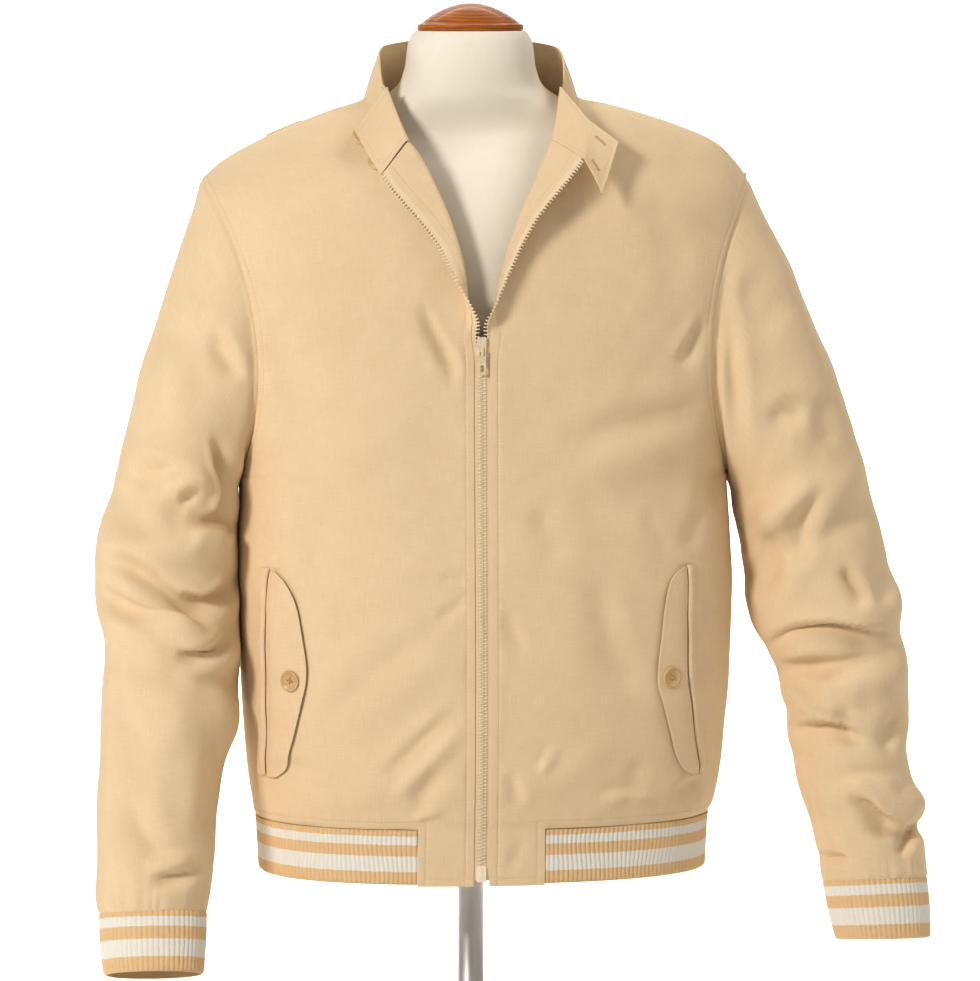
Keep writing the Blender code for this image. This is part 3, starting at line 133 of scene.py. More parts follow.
# Where a row of a front starts and where round the armhole it ends (degrees from the shoulder); how
# far its inner edge rolls over (degrees), how far it reaches beyond the roll, and how it leans.
Row = namedtuple("Row", "x z around turn reach slant")
ROLL = {
    "right": (
        Row(13.2, 540, 162, 0, 7.1, 0), Row(13.2, 578, 144, 0, 7.1, 0), Row(13.2, 612, 126, 0, 7.1, 0),
        Row(13.2, 634, 108, 0, 4.6, 0), Row(13.6, 652, 99, 60, 5.4, 0), Row(14.6, 670, 90, 108, 5.0, 0),
        Row(16.6, 690, 81, 156, 5.6, 4), Row(22.6, 715, 72, 178, 8.0, 22),
        Row(31.6, 742, 54, 180, 16.5, 28), Row(42.6, 768, 45, 180, 25.0, 35),
        Row(53.0, 788, 36, 180, 30.0, 44), Row(64.0, 803, 27, 180, 31.0, 54),
    ),
    "left": (
        Row(15.6, 540, 162, 0, 7.1, 0), Row(15.6, 578, 144, 0, 7.1, 0), Row(15.6, 612, 126, 0, 7.1, 0),
        Row(15.6, 634, 108, 0, 4.6, 0), Row(15.6, 652, 99, 70, 5.4, 0), Row(17.6, 670, 90, 102, 5.4, 0),
        Row(22.0, 690, 81, 118, 7.0, 4), Row(30.0, 715, 72, 126, 10.0, 18),
        Row(40.0, 742, 54, 128, 17.5, 28), Row(52.0, 768, 45, 135, 25.5, 34),
        Row(61.0, 788, 36, 142, 30.5, 44), Row(68.5, 803, 27, 150, 31.5, 54),
    ),
}
# The same for a row that starts at the neck.
Neck = namedtuple("Neck", "x z around")
FRONT_NECK = (Neck(76, 810, 18), Neck(86, 820, 12), Neck(93.5, 832, 6), Neck(98, 842.5, 0))
BACK_LOW_ROWS = (CASING_Z, 212, 252, 300, 352, 404, 454, UNDERARM_Z)
BACK_ROWS = (
    Neck(0, 540, 162), Neck(0, 582, 144), Neck(0, 624, 126), Neck(0, 666, 108), Neck(0, 706, 90),
    Neck(0, 742, 72), Neck(0, 774, 54), Neck(0, 802, 36), Neck(0, 828, 27), Neck(0, 850, 18),
)
BACK_NECK = (Neck(30, 849, 12), Neck(60, 847, 8), Neck(84, 844.5, 4), Neck(98, 842.5, 0))

# Outer and inner end of a ring round the arm, the middle and half of its depth, and how far its
# front and back are drawn towards the body.
Ring = namedtuple("Ring", "row out_x out_z in_x in_z mid_y depth bow")
SLEEVE = {
    "right": (
        Ring(0, 246, 769, 213, 501, 0, 78, 29), Ring(1, 254, 741, 215, 492, 0, 79, 21),
        Ring(2, 267, 703, 215.5, 483, 0, 79, 12), Ring(3, 282, 660, 215, 472, -2, 78, 5),
        Ring(4, 296, 615, 214.5, 460, -4, 76, 1), Ring(5, 309, 570, 214, 446, -6, 75, 0),
        Ring(6, 320, 525, 214, 428, -8, 73, 0), Ring(7, 331, 482, 213.5, 406, -11, 71, 0),
        Ring(8, 342, 442, 213, 382, -15, 69, 0), Ring(9, 347, 408, 213, 358, -21, 67, 0),
        Ring(10, 341, 376, 213.5, 334, -28, 65, 0), Ring(11, 337.5, 344, 214.5, 308, -36, 62, 0),
        Ring(12, 339.5, 308, 217, 281, -46, 59, 0), Ring(13, 341.5, 270, 224, 252, -57, 56, 0),
        Ring(14, 343.5, 232, 231, 220, -68, 53, 0), Ring(15, 345, 194, 236, 187, -79, 50, 0),
        Ring(16, 345, 158, 240, 155, -89, 47, 0), Ring(17, 347, 128, 243.5, 127, -97, 44, 0),
        Ring(18, 344, 111, 247, 111, -101, 40, 0),
    ),
    "left": (
        Ring(0, 256, 768, 235, 501, 0, 78, 30), Ring(1, 267, 743, 237, 493, 0, 79, 21),
        Ring(2, 284, 709, 239.5, 484, 0, 79, 11), Ring(3, 302, 671, 242, 474, 0, 78, 4),
        Ring(4, 318, 632, 244.5, 463, -1, 76, 1), Ring(5, 334, 594, 247, 449, -2, 75, 0),
        Ring(6, 346.5, 556, 249.5, 433, -4, 73, 0), Ring(7, 358, 517, 251, 414, -6, 71, 0),
        Ring(8, 369, 477, 253, 391, -9, 69, 0), Ring(9, 380, 438, 258, 366, -12, 67, 0),
        Ring(10, 390, 399, 269, 342, -16, 65, 0), Ring(11, 397.5, 361, 283, 316, -21, 62, 0),
        Ring(12, 401.5, 323, 290.5, 289, -26, 59, 0), Ring(13, 403.5, 285, 290, 261, -31, 56, 0),
        Ring(14, 400, 251, 292, 233, -36, 53, 0), Ring(15, 405, 217, 301, 206, -41, 50, 0),
        Ring(16, 413, 186, 310, 178, -46, 47, 0), Ring(17, 416, 151, 316, 147, -51, 44, 0),
        Ring(18, 417, 127, 321, 124, -55, 39, 0),
    ),
}
Cuff = namedtuple("Cuff", "out_x out_z in_x in_z mid_y depth")
CUFF = {"right": Cuff(340, 58, 250, 58, -117, 35), "left": Cuff(419, 73, 331.5, 72, -63, 35)}

# From one place to another: u is x on the body, and the angle round the arm on a sleeve.
Fold = namedtuple("Fold", "u1 z1 u2 z2 wide height")
BODY_FOLDS = {
    "front": (
        Fold(-45, 660, -16, 580, 15, -2.4), Fold(-150, 285, -12, 385, 20, 3.0),
        Fold(-120, 252, -12, 335, 17, -2.6), Fold(-190, 480, -60, 560, 26, 2.6),
        Fold(76, 530, 225, 560, 26, 3.0), Fold(100, 500, 150, 300, 24, -2.4),
        Fold(205, 690, 212, 530, 14, 4.0), Fold(-205, 650, -204, 520, 14, 3.0),
        Fold(30, 215, 120, 262, 18, 2.4), Fold(-175, 205, -80, 222, 13, 2.4),
    ),
    "back": (
        Fold(-170, 560, -60, 470, 26, 3.0), Fold(160, 580, 40, 480, 26, 3.0),
        Fold(-150, 250, 10, 330, 22, 3.0), Fold(150, 235, 60, 300, 20, -2.6),
        Fold(-60, 212, 90, 222, 13, 2.4), Fold(-190, 690, -175, 540, 16, 3.0),
        Fold(195, 690, 180, 540, 16, 3.0),
    ),
}
SLEEVE_FOLDS = {
    "right": (
        Fold(70, 520, 165, 478, 17, 7.5), Fold(62, 484, 160, 446, 13, -5.5),
        Fold(20, 440, 150, 438, 16, 8.0), Fold(5, 406, 140, 372, 13, -8.5),
        Fold(10, 376, 150, 340, 15, 8.0), Fold(40, 336, 170, 312, 13, -5.5),
        Fold(70, 305, 190, 272, 20, 4.0), Fold(40, 168, 140, 150, 15, 4.0),
        Fold(290, 430, 200, 400, 20, 5.0), Fold(330, 370, 220, 340, 18, 5.0),
        Fold(300, 190, 230, 175, 15, 3.5),
    ),
    "left": (
        Fold(30, 505, 160, 440, 17, 6.5), Fold(30, 474, 140, 420, 13, -5.0),
        Fold(5, 388, 160, 352, 15, 7.5), Fold(10, 352, 170, 318, 13, -7.5),
        Fold(40, 316, 190, 296, 15, 7.5), Fold(90, 262, 200, 232, 15, -6.0),
        Fold(0, 198, 150, 208, 13, 7.0), Fold(-10, 172, 110, 178, 10, -7.0),
        Fold(20, 128, 150, 136, 13, 5.0), Fold(330, 420, 220, 372, 20, 5.0),
        Fold(320, 330, 210, 305, 18, 5.0), Fold(330, 170, 230, 182, 15, 4.5),
    ),
}
# Top edge of the standing collar, from its fold to the middle of the back.
Top = namedtuple("Top", "place x y z")
COLLAR_TOP = (
    Top(0, 80, -45, 850), Top(1, 83, -33, 862), Top(2, 84.5, -19, 873), Top(3, 84, -4, 882),
    Top(4, 81.5, 10, 888), Top(5, 74, 36, 891), Top(6, 55, 56, 894), Top(7, 29, 68, 896),
    Top(8, 0, 72, 897),
)
# Way the top of a turned end lies, how far it reaches, and how far it is turned (degrees).
TurnedTop = namedtuple("TurnedTop", "lay_x lay_y lay_z reach turn")
COLLAR_TURN = {
    "right": TurnedTop(-32, -28, -43, 48, 176),
    "left": TurnedTop(26, -40, -36, 44, 178),
}
# Further reach of the left end's tab, at its neck seam and at its top edge.
TAB_LOW = (15, -5, -30)
TAB_HIGH = (25, -14, -19)
# Sewn and free edge of a flap at a height.
Flap = namedtuple("Flap", "z hinge_x edge_x")
FLAP = {
    "right": (
        Flap(229, 190, 182), Flap(238, 190, 174), Flap(258, 190, 168.5), Flap(282, 190, 163),
        Flap(303, 190, 158), Flap(318, 190, 155), Flap(334, 190, 154.5), Flap(357, 190, 157.5),
        Flap(382, 190, 161.5), Flap(397, 190, 166), Flap(410, 189.5, 174), Flap(418, 188, 183),
    ),
    "left": (
        Flap(229, 203, 195), Flap(234, 203, 187), Flap(249, 201, 178.5), Flap(274, 197, 172),
        Flap(297, 193, 165.5), Flap(315, 190.5, 160.5), Flap(333, 190, 161), Flap(360, 190, 164.5),
        Flap(389, 190, 167.5), Flap(407, 190, 171.5), Flap(416, 189.5, 178), Flap(420, 189, 184),
    ),
}
# Half width and half depths of the form; tip is how much higher its left shoulder stands.
Form = namedtuple("Form", "z wide front back middle_y tip")
FORM_BODY = (
    Form(166, 172, 88, 86, 0, 0), Form(172, 178, 94, 92, 0, 0), Form(220, 184, 100, 98, 0, 0),
    Form(300, 178, 98, 98, 0, 0), Form(380, 180, 98, 98, 0, 0), Form(460, 188, 101, 98, 0, 0),
    Form(540, 186, 103, 98, 0, 0), Form(620, 180, 103, 96, 0, 1), Form(680, 184, 99, 93, 0, 3),
    Form(721, 197, 93, 88, 1, 5), Form(751.6, 203, 84, 80, 3, 7), Form(773.1, 209, 73, 71, 5, 9),
    Form(788.2, 205, 63, 62, 7, 9.5), Form(800.2, 193, 57, 57, 8, 9), Form(810.1, 171, 53, 55, 8, 7.5),
    Form(820, 146, 53, 54, 8, 5), Form(828.7, 119.5, 55, 54, 8, 2.5), Form(837, 97, 57, 54, 7, 0.5),
    Form(846.5, 80, 58, 55, 5, 0), Form(856, 67, 58, 56, 4, 0), Form(868, 60.5, 57, 56, 3, 0),
    Form(880, 58.5, 56, 56, 2, 0), Form(891, 57, 55, 55, 2, 0), Form(899, 54.5, 53, 53, 2, 0),
    Form(904, 50.5, 49, 49, 2, 0),
)

# ---------------------------------------------------------------- finer creases
# Each runs through (x, z) places seen from the front, fades at both ends, and is a ridge
# (height > 0) or a trough.  Its side on the left of the way it runs is narrower, by `steep` squared.
Crease = namedtuple("Crease", "path wide height steep")
BODY_CREASES = {
    "front": (
        Crease(((-54, 668), (-38, 632), (-12, 594)), 7, -1.7, 0.7),
        Crease(((-40, 630), (-28, 604), (-22, 584)), 5, -1.1, 1.0),
        Crease(((-160, 254), (-104, 322), (-66, 352), (-14, 392)), 19, -2.1, 0.8),
        Crease(((-96, 226), (-62, 262), (-16, 304)), 10, -1.8, 0.7),
        Crease(((-84, 214), (-54, 244), (-15, 286)), 8, 1.6, 0.7),
        Crease(((-62, 200), (-48, 226), (-30, 244)), 9, -1.5, 1.0),
        Crease(((-64, 198), (-50, 201), (-34, 205)), 4, 1.5, 0.7),
        Crease(((-40, 418), (-24, 417), (-8, 414)), 5, -1.0, 0.8),
        Crease(((-44, 376), (-28, 388), (-10, 398)), 6, -1.1, 0.8),
        Crease(((-190, 226), (-170, 240), (-140, 236)), 9, -1.3, 0.9),
        Crease(((-196, 640), (-170, 600), (-150, 540)), 16, -1.6, 1.0),
        Crease(((-206, 470), (-190, 430), (-186, 380)), 12, -1.2, 1.0),
        Crease(((60, 530), (126, 550), (184, 560), (222, 584)), 19, -2.2, 0.8),
        Crease(((70, 508), (140, 524), (206, 542)), 19, 1.5, 0.8),
        Crease(((150, 760), (170, 726), (194, 690)), 16, -1.5, 0.9),
        Crease(((180, 600), (196, 624), (210, 650)), 11, -3.2, 0.7),
        Crease(((44, 480), (58, 460), (76, 424)), 12, -1.7, 1.0),
        Crease(((150, 480), (160, 458), (178, 430)), 8, -1.0, 0.9),
        Crease(((206, 474), (200, 456), (190, 430)), 8, -1.1, 0.9),
        Crease(((222, 520), (214, 490), (214, 460)), 10, -1.7, 1.0),
        Crease(((96, 430), (110, 388), (122, 344), (154, 294)), 16, -2.3, 0.8),
        Crease(((20, 392), (28, 368), (40, 340)), 8, -1.3, 0.9),
        Crease(((52, 236), (60, 250), (70, 266)), 5, 1.3, 0.8),
        Crease(((22, 240), (30, 226), (34, 206)), 7, -1.5, 0.9),
        Crease(((40, 180), (34, 164), (24, 146)), 6, -0.8, 0.9),
        Crease(((100, 204), (128, 214), (166, 208)), 7, 1.6, 0.8),
        Crease(((176, 204), (196, 218), (216, 222)), 9, -1.8, 0.9),
        Crease(((150, 250), (140, 226), (146, 204)), 8, -1.2, 1.0),
    ),
    "back": (
        Crease(((-208, 650), (-160, 590), (-96, 548)), 15, -3.0, 0.7),
        Crease(((-204, 600), (-158, 556), (-104, 520)), 13, 2.4, 0.8),
        Crease(((210, 670), (168, 602), (110, 552)), 15, -3.0, 0.7),
        Crease(((214, 616), (170, 566), (118, 526)), 13, 2.2, 0.8),
        Crease(((-150, 360), (-60, 330), (40, 350)), 20, -2.4, 0.8),
        Crease(((160, 330), (100, 300), (20, 300)), 17, 2.2, 0.8),
        Crease(((-120, 262), (-40, 250), (30, 268)), 12, -2.4, 0.7),
        Crease(((-100, 236), (-20, 226), (60, 240)), 10, 2.0, 0.8),
        Crease(((70, 226), (130, 240), (190, 226)), 9, -2.0, 0.8),
        Crease(((-196, 236), (-160, 220), (-126, 222)), 8, -1.8, 0.8),
        Crease(((-30, 770), (-20, 700), (-34, 640)), 14, -1.5, 1.0),
        Crease(((40, 720), (52, 660), (40, 600)), 12, -1.2, 1.0),
        Crease(((-206, 470), (-190, 420), (-196, 360)), 12, -1.7, 1.0),
        Crease(((214, 460), (200, 400), (206, 340)), 12, -1.7, 1.0),
    ),
}
SLEEVE_CREASES = {
    ("right", "front"): (
        Crease(((-254, 460), (-233, 469), (-226, 492), (-232, 518), (-238, 548)), 8, -4.4, 0.65),
        Crease(((-290, 494), (-254, 504), (-240, 486)), 12, 2.6, 0.8),
        Crease(((-264, 476), (-261, 490), (-249, 497)), 6, -1.8, 0.8),
        Crease(((-322, 498), (-296, 508), (-268, 510)), 14, -3.0, 0.8),
        Crease(((-326, 502), (-312, 470), (-296, 450)), 12, -1.8, 1.0),
        Crease(((-264, 450), (-240, 452), (-216, 440)), 9, 3.0, 0.8),
        Crease(((-238, 350), (-262, 364), (-290, 386), (-320, 406), (-346, 408)), 11, 3.2, 0.9),
        Crease(((-236, 362), (-262, 379), (-287, 400), (-322, 424), (-350, 428)), 9, -3.6, 0.65),
        Crease(((-270, 402), (-250, 392), (-230, 399), (-217, 418)), 9, -5.2, 0.65),
        Crease(((-276, 347), (-252, 345), (-233, 352), (-224, 366)), 8, -4.6, 0.65),
        Crease(((-324, 226), (-300, 182), (-280, 158)), 13, -2.6, 0.9),
        Crease(((-300, 150), (-276, 152), (-248, 155)), 7, -2.6, 0.7),
        Crease(((-306, 162), (-280, 164), (-256, 166)), 8, 1.8, 0.8),
        Crease(((-240, 286), (-235, 228), (-243, 160)), 11, -2.4, 1.0),
        Crease(((-282, 656), (-250, 606), (-240, 566)), 17, -2.4, 1.0),
        Crease(((-240, 640), (-226, 612), (-208, 590)), 11, -3.0, 0.8),
        Crease(((-330, 330), (-316, 280), (-318, 240)), 14, -1.6, 1.0),
        Crease(((-280, 320), (-270, 290), (-276, 250)), 14, 1.4, 1.0),
    ),
    ("left", "front"): (
        Crease(((312, 502), (288, 474), (252, 450)), 12, 3.4, 0.8),
        Crease(((316, 500), (298, 460), (294, 408)), 13, -3.0, 0.8),
        Crease(((246, 444), (270, 428), (254, 382)), 14, -3.6, 0.9),
        Crease(((332, 420), (346, 402), (358, 378)), 9, -3.2, 0.7),
        Crease(((268, 332), (284, 357), (314, 363), (350, 358), (390, 356)), 9, -4.4, 0.6),
        Crease(((274, 320), (292, 341), (320, 346), (356, 340)), 11, 3.0, 0.8),
        Crease(((284, 264), (324, 271), (358, 256)), 8, -3.8, 0.6),
        Crease(((290, 284), (314, 290), (340, 282)), 12, 3.0, 0.8),
        Crease(((350, 276), (312, 292), (288, 316)), 8, -2.6, 0.7),
        Crease(((394, 286), (382, 264), (368, 248)), 11, -2.8, 0.8),
        Crease(((328, 220), (358, 221), (392, 216)), 10, 3.0, 0.7),
        Crease(((332, 212), (352, 206), (370, 188), (394, 174)), 9, -4.2, 0.6),
        Crease(((416, 176), (398, 168), (384, 150)), 8, -3.2, 0.8),
        Crease(((312, 147), (326, 151), (342, 150)), 5, -3.0, 0.7),
        Crease(((290, 244), (302, 196), (315, 158)), 8, -2.4, 1.0),
        Crease(((238, 686), (258, 656), (286, 634)), 20, -2.4, 1.0),
        Crease(((262, 548), (284, 560), (306, 556)), 13, -2.4, 0.8),
        Crease(((312, 576), (320, 548), (328, 520)), 12, -2.2, 1.0),
        Crease(((222, 742), (222, 690), (228, 630), (236, 570), (242, 520)), 9, -2.4, 0.9),
        Crease(((380, 430), (376, 400), (384, 372)), 12, -1.6, 1.0),
    ),
    ("right", "back"): (
        Crease(((-340, 470), (-300, 452), (-250, 424)), 13, 3.4, 0.7),
        Crease(((-344, 446), (-304, 430), (-256, 400)), 10, -4.0, 0.7),
        Crease(((-336, 400), (-296, 396), (-246, 372)), 12, 3.4, 0.7),
        Crease(((-336, 366), (-300, 356), (-256, 344)), 10, -3.6, 0.7),
        Crease(((-330, 300), (-290, 286), (-250, 262)), 13, -2.4, 0.9),
        Crease(((-270, 640), (-250, 590), (-236, 530)), 16, -2.6, 1.0),
        Crease(((-330, 190), (-296, 180), (-262, 162)), 11, -2.8, 0.8),
        Crease(((-336, 160), (-300, 148), (-266, 146)), 8, -2.4, 0.7),
        Crease(((-310, 590), (-296, 540), (-300, 500)), 14, -1.8, 1.0),
    ),
    ("left", "back"): (
        Crease(((384, 452), (340, 440), (286, 408)), 13, 3.4, 0.7),
        Crease(((388, 428), (346, 416), (294, 384)), 10, -4.0, 0.7),
        Crease(((392, 380), (350, 372), (300, 350)), 12, 3.2, 0.7),
        Crease(((394, 350), (356, 342), (306, 326)), 10, -3.6, 0.7),
        Crease(((396, 262), (356, 254), (310, 240)), 13, -2.8, 0.8),
        Crease(((300, 640), (284, 590), (262, 540)), 16, -2.6, 1.0),
        Crease(((404, 210), (366, 196), (326, 190)), 11, -3.2, 0.7),
        Crease(((408, 172), (372, 162), (334, 160)), 8, -2.8, 0.7),
        Crease(((340, 570), (332, 520), (340, 480)), 14, -1.8, 1.0),
    ),
}

SIGN = {"right": -1.0, "left": 1.0}
WAY = {"front": -1.0, "back": 1.0}     # of y


# ---------------------------------------------------------------- small helpers
def read(table, key, name, at):
    """Values of a table's named column at many places, on a smooth curve through its rows."""
    keys = np.array([getattr(row, key) for row in table], float)
    values = np.array([getattr(row, name) for row in table], float)
    at = np.clip(np.asarray(at, float), keys[0], keys[-1])
    i = np.clip(np.searchsorted(keys, at, side="right") - 1, 0, len(keys) - 2)
    below = np.maximum(np.arange(len(keys)) - 1, 0)
    above = np.minimum(np.arange(len(keys)) + 1, len(keys) - 1)
    slope = (values[above] - values[below]) / (keys[above] - keys[below])
    span = keys[i + 1] - keys[i]
    t = (at - keys[i]) / span
    rise = values[i + 1] - values[i]
    bend = (slope[i] * span - rise) * (1 - t) - (slope[i + 1] * span - rise) * t
    return values[i] + rise * t + t * (1 - t) * bend


def mix(a, b, t):
    return a + (b - a) * t


def point(x, y, z):
    """Points from their coordinates, of any shapes that fit together."""
    return np.stack(np.broadcast_arrays(x, y, z), axis=-1).astype(float)


def unit(v):
    return v / np.maximum(np.linalg.norm(v, axis=-1, keepdims=True), 1e-9)


def smooth_step(t):
    t = np.clip(t, 0, 1)
    return t * t * (3 - 2 * t)


def bell(d, wide):
    return np.exp(-(d / wide) ** 2)


def flat_places(across, up):
    """Places on a flat piece from distances across it and up it, of shapes that fit together."""
    return np.stack(np.broadcast_arrays(across, up), axis=-1).astype(float)


def linked(name, data):
    """A new object in the scene."""
    made = bpy.data.objects.new(name, data)
    bpy.context.scene.collection.objects.link(made)
    return made


def run_lengths(points):
    """Distance along the last-but-one axis of a run of points."""
    steps = np.linalg.norm(np.diff(points, axis=-2), axis=-1)
    return np.concatenate([np.zeros(steps.shape[:-1] + (1,)), np.cumsum(steps, axis=-1)], axis=-1)


def at_lengths(wanted, lengths, values):
    """Values of a run of points at wanted distances along it."""
    return np.stack([np.interp(wanted, lengths, values[:, axis]) for axis in range(3)], axis=1)


def smooth_path(points, steps=6):
    """Points on a smooth curve through a few given ones."""
    points = np.array(points, float)
    ends = np.vstack([2 * points[0] - points[1], points, 2 * points[-1] - points[-2]])
    made = []
    for a, b, c, d in zip(ends, ends[1:], ends[2:], ends[3:]):
        for t in np.arange(steps) / steps:
            made.append(0.5 * (2 * b + (c - a) * t + (2 * a - 5 * b + 4 * c - d) * t * t
                               + (3 * b - a - 3 * c + d) * t ** 3))
    return np.array(made + [points[-1]])


def fold_push(folds, u, z, u_size=1.0, turn=None):
    """How far the large folds, which the solids have too, push a point out."""
    push = np.zeros(np.broadcast(u, z).shape)
    for fold in folds:
        du, dz = (fold.u2 - fold.u1) * u_size, fold.z2 - fold.z1
        pu = u - fold.u1
        if turn:
            pu = (pu + turn / 2) % turn - turn / 2
        pu = pu * u_size
        pz = z - fold.z1
        length = math.hypot(du, dz)
        along = (pu * du + pz * dz) / length ** 2
        across = np.abs(pu * dz - pz * du) / length
        fade = np.cos(np.pi * np.clip(np.abs(along - 0.5) - 0.25, 0, 0.5)) ** 2
        push += np.where(np.abs(along - 0.5) < 0.75, fold.height * fade * bell(across, fold.wide), 0)
    return push


def crease_push(creases, x, z, depth=CREASE_DEPTH):
    """How far the finer creases push a point out: a ridge with softer hollows beside it."""
    push = np.zeros(np.broadcast(x, z).shape)
    for crease in creases:
        path = smooth_path(crease.path)
        lengths = run_lengths(path)
        nearest = np.full(push.shape, 1e9)
        along = np.zeros(push.shape)
        across = np.zeros(push.shape)
        for (ax, az), (bx, bz), start in zip(path, path[1:], lengths):
            dx, dz = bx - ax, bz - az
            length = math.hypot(dx, dz)
            t = np.clip(((x - ax) * dx + (z - az) * dz) / length ** 2, 0, 1)
            px, pz = x - ax - t * dx, z - az - t * dz
            gap = np.hypot(px, pz)
            closer = gap < nearest
            nearest = np.where(closer, gap, nearest)
            along = np.where(closer, start + t * length, along)
            across = np.where(closer, np.sign(dx * pz - dz * px), across)
        fade = smooth_step(np.minimum(along, lengths[-1] - along) / (CREASE_FADE * lengths[-1]))
        wide = np.maximum(crease.wide * np.where(across > 0, crease.steep ** 2, 1.0), CREASE_LEAST)
        shape = bell(nearest, wide) - 0.25 * bell(nearest - 2.1 * wide, wide)
        push += depth * crease.height * fade * shape
    return push


def ripple(u, v, size, seed):
    """A gentle uneven swell of the cloth, between about -1 and 1."""
    rng = np.random.default_rng(seed)
    total = np.zeros(np.broadcast(u, v).shape)
    for _ in range(6):
        angle = rng.uniform(0, math.pi)
        wave = 2 * math.pi / (size * rng.uniform(0.7, 1.5))
        total += np.sin(wave * (u * math.cos(angle) + v * math.sin(angle)) + rng.uniform(0, 6.3))
    return total / 3


def puckers(u, away, pitch, reach, seed):
    """Short uneven gathers that stand across a seam and fade away from it."""
    wander = ripple(u, 0 * u, pitch * 4, seed)
    wave = np.sin(2 * math.pi * u / pitch + 2.2 * wander)
    strength = 0.6 + 0.4 * ripple(u, 0 * u, pitch * 7, seed + 1)
    return wave * strength * np.exp(-np.abs(away) / reach)


# ---------------------------------------------------------------- mesh making
def new_object(name, points, faces, look, slot, body="jacket", uv=None, replaces=(), smooth=True,
               sharp=60):
    """A named object from points in millimetres; faces may be of several sizes."""
    mesh = bpy.data.meshes.new(name)
    places = (np.asarray(points, float) + (0, 0, DATUM)) * MM
    mesh.from_pydata(places.tolist(), [], [tuple(face) for face in faces])
    if uv is not None:
        layer = mesh.uv_layers.new(name="cut")
        layer.data.foreach_set("uv", np.asarray(uv, np.float32).ravel())
    mesh.materials.append(look)
    if smooth:
        mesh.shade_smooth()
        mesh.set_sharp_from_angle(angle=math.radians(sharp))
    mesh.validate()
    made = linked(name, mesh)
    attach(made, body)
    if replaces:
        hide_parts(*replaces)
    return made


def point_normals(points, quads):
    """Mean outward direction at each point, from the quads that meet there."""
    a, b, c, d = (points[quads[:, k]] for k in range(4))
    direction = np.cross(c - a, d - b)
    total = np.zeros_like(points)
    for k in range(4):
        for axis in range(3):
            total[:, axis] += np.bincount(quads[:, k], direction[:, axis], len(points))
    return unit(total)


Shell = namedtuple("Shell", "object outer inner normals")


def cloth_shell(name, grid, cut, look, slot="twill", push=0.0, groove=0.0, thick=SHELL, keep=None,
                index=None, closed=False, flip=False, inner=None, settle=None, **more):
    """A thin closed cloth wall on a grid of points.

    cut is the place of each point on the flat piece; push moves the surface out; groove thins
    the wall under a line of stitches; keep says which cells of the grid are cloth; settle is a
    last correction of the moved points.
    """
    rows, columns = grid.shape[:2]
    if index is None:
        index = np.arange(rows * columns).reshape(rows, columns)
    ids = np.hstack([index, index[:, :1]]) if closed else index
    cells = np.stack([ids[:-1, :-1], ids[:-1, 1:], ids[1:, 1:], ids[1:, :-1]], axis=-1)
    places = np.arange(cut.shape[0] * cut.shape[1]).reshape(cut.shape[:2])
    flat = np.stack([places[:-1, :-1], places[:-1, 1:], places[1:, 1:], places[1:, :-1]], axis=-1)
    keep = np.ones(cells.shape[:2], bool) if keep is None else keep
    quads, flat = cells[keep], flat[keep]
    if flip:
        quads, flat = quads[:, ::-1], flat[:, ::-1]
    points = grid.reshape(-1, 3)
    moved = points + point_normals(points, quads) * np.broadcast_to(push, grid.shape[:2]).reshape(-1, 1)
    if settle is not None:
        moved = settle(moved)
    normals = point_normals(moved, quads)
    dent = np.broadcast_to(groove, grid.shape[:2]).reshape(-1, 1)
    outer = moved - normals * dent
    if inner is None:
        inner = moved - normals * (thick - 0.5 * dent)
    else:
        inner = inner.reshape(-1, 3)
    count = len(points)
    starts, ends = quads.ravel(), np.roll(quads, -1, axis=1).ravel()
    corners, next_corners = flat.ravel(), np.roll(flat, -1, axis=1).ravel()
    rim = ~np.isin(starts * count + ends, ends * count + starts)
    a, b = starts[rim], ends[rim]
    edge_out = np.cross(outer[b] - outer[a], normals[a])
    spread = np.zeros_like(points)
    for axis in range(3):
        spread[:, axis] = (np.bincount(a, edge_out[:, axis], count)
                           + np.bincount(b, edge_out[:, axis], count))
    rounded = (outer + inner) / 2 + unit(spread) * min(0.22, thick * 0.3)
    all_points = np.vstack([outer, inner, rounded])
    faces = np.vstack([quads, quads[:, ::-1] + count,
                       np.stack([b, a, a + 2 * count, b + 2 * count], axis=1),
                       np.stack([b + 2 * count, a + 2 * count, a + count, b + count], axis=1)])
    ca, cb = corners[rim], next_corners[rim]
    rim_flat = np.stack([cb, ca, ca, cb], axis=1)
    flat_points = cut.reshape(-1, 2) * MM
    uv = flat_points[np.vstack([flat, flat[:, ::-1], rim_flat, rim_flat])]
    used = np.unique(faces)
    renumber = np.zeros(len(all_points), int)
    renumber[used] = np.arange(len(used))
    made = new_object(name, all_points[used], renumber[faces], look, slot, uv=uv, **more)
    shape = grid.shape
    return Shell(made, outer.reshape(shape), inner.reshape(shape), normals.reshape(shape))


def at_distance(values, distance, wanted):
    """Each row's value at a wanted distance along it."""
    if np.ndim(wanted) == 0:
        wanted = np.full(len(values), float(wanted))
    return np.stack([[np.interp(w, d, v[:, axis]) for axis in range(3)]
                     for v, d, w in zip(values, distance, wanted)])


STITCHES = {}
# Group of dark stitches along each buttonhole: painted shade where the slot's cut opens.
SLOT_SHADE_GROUP = "buttonhole_slot_shade"


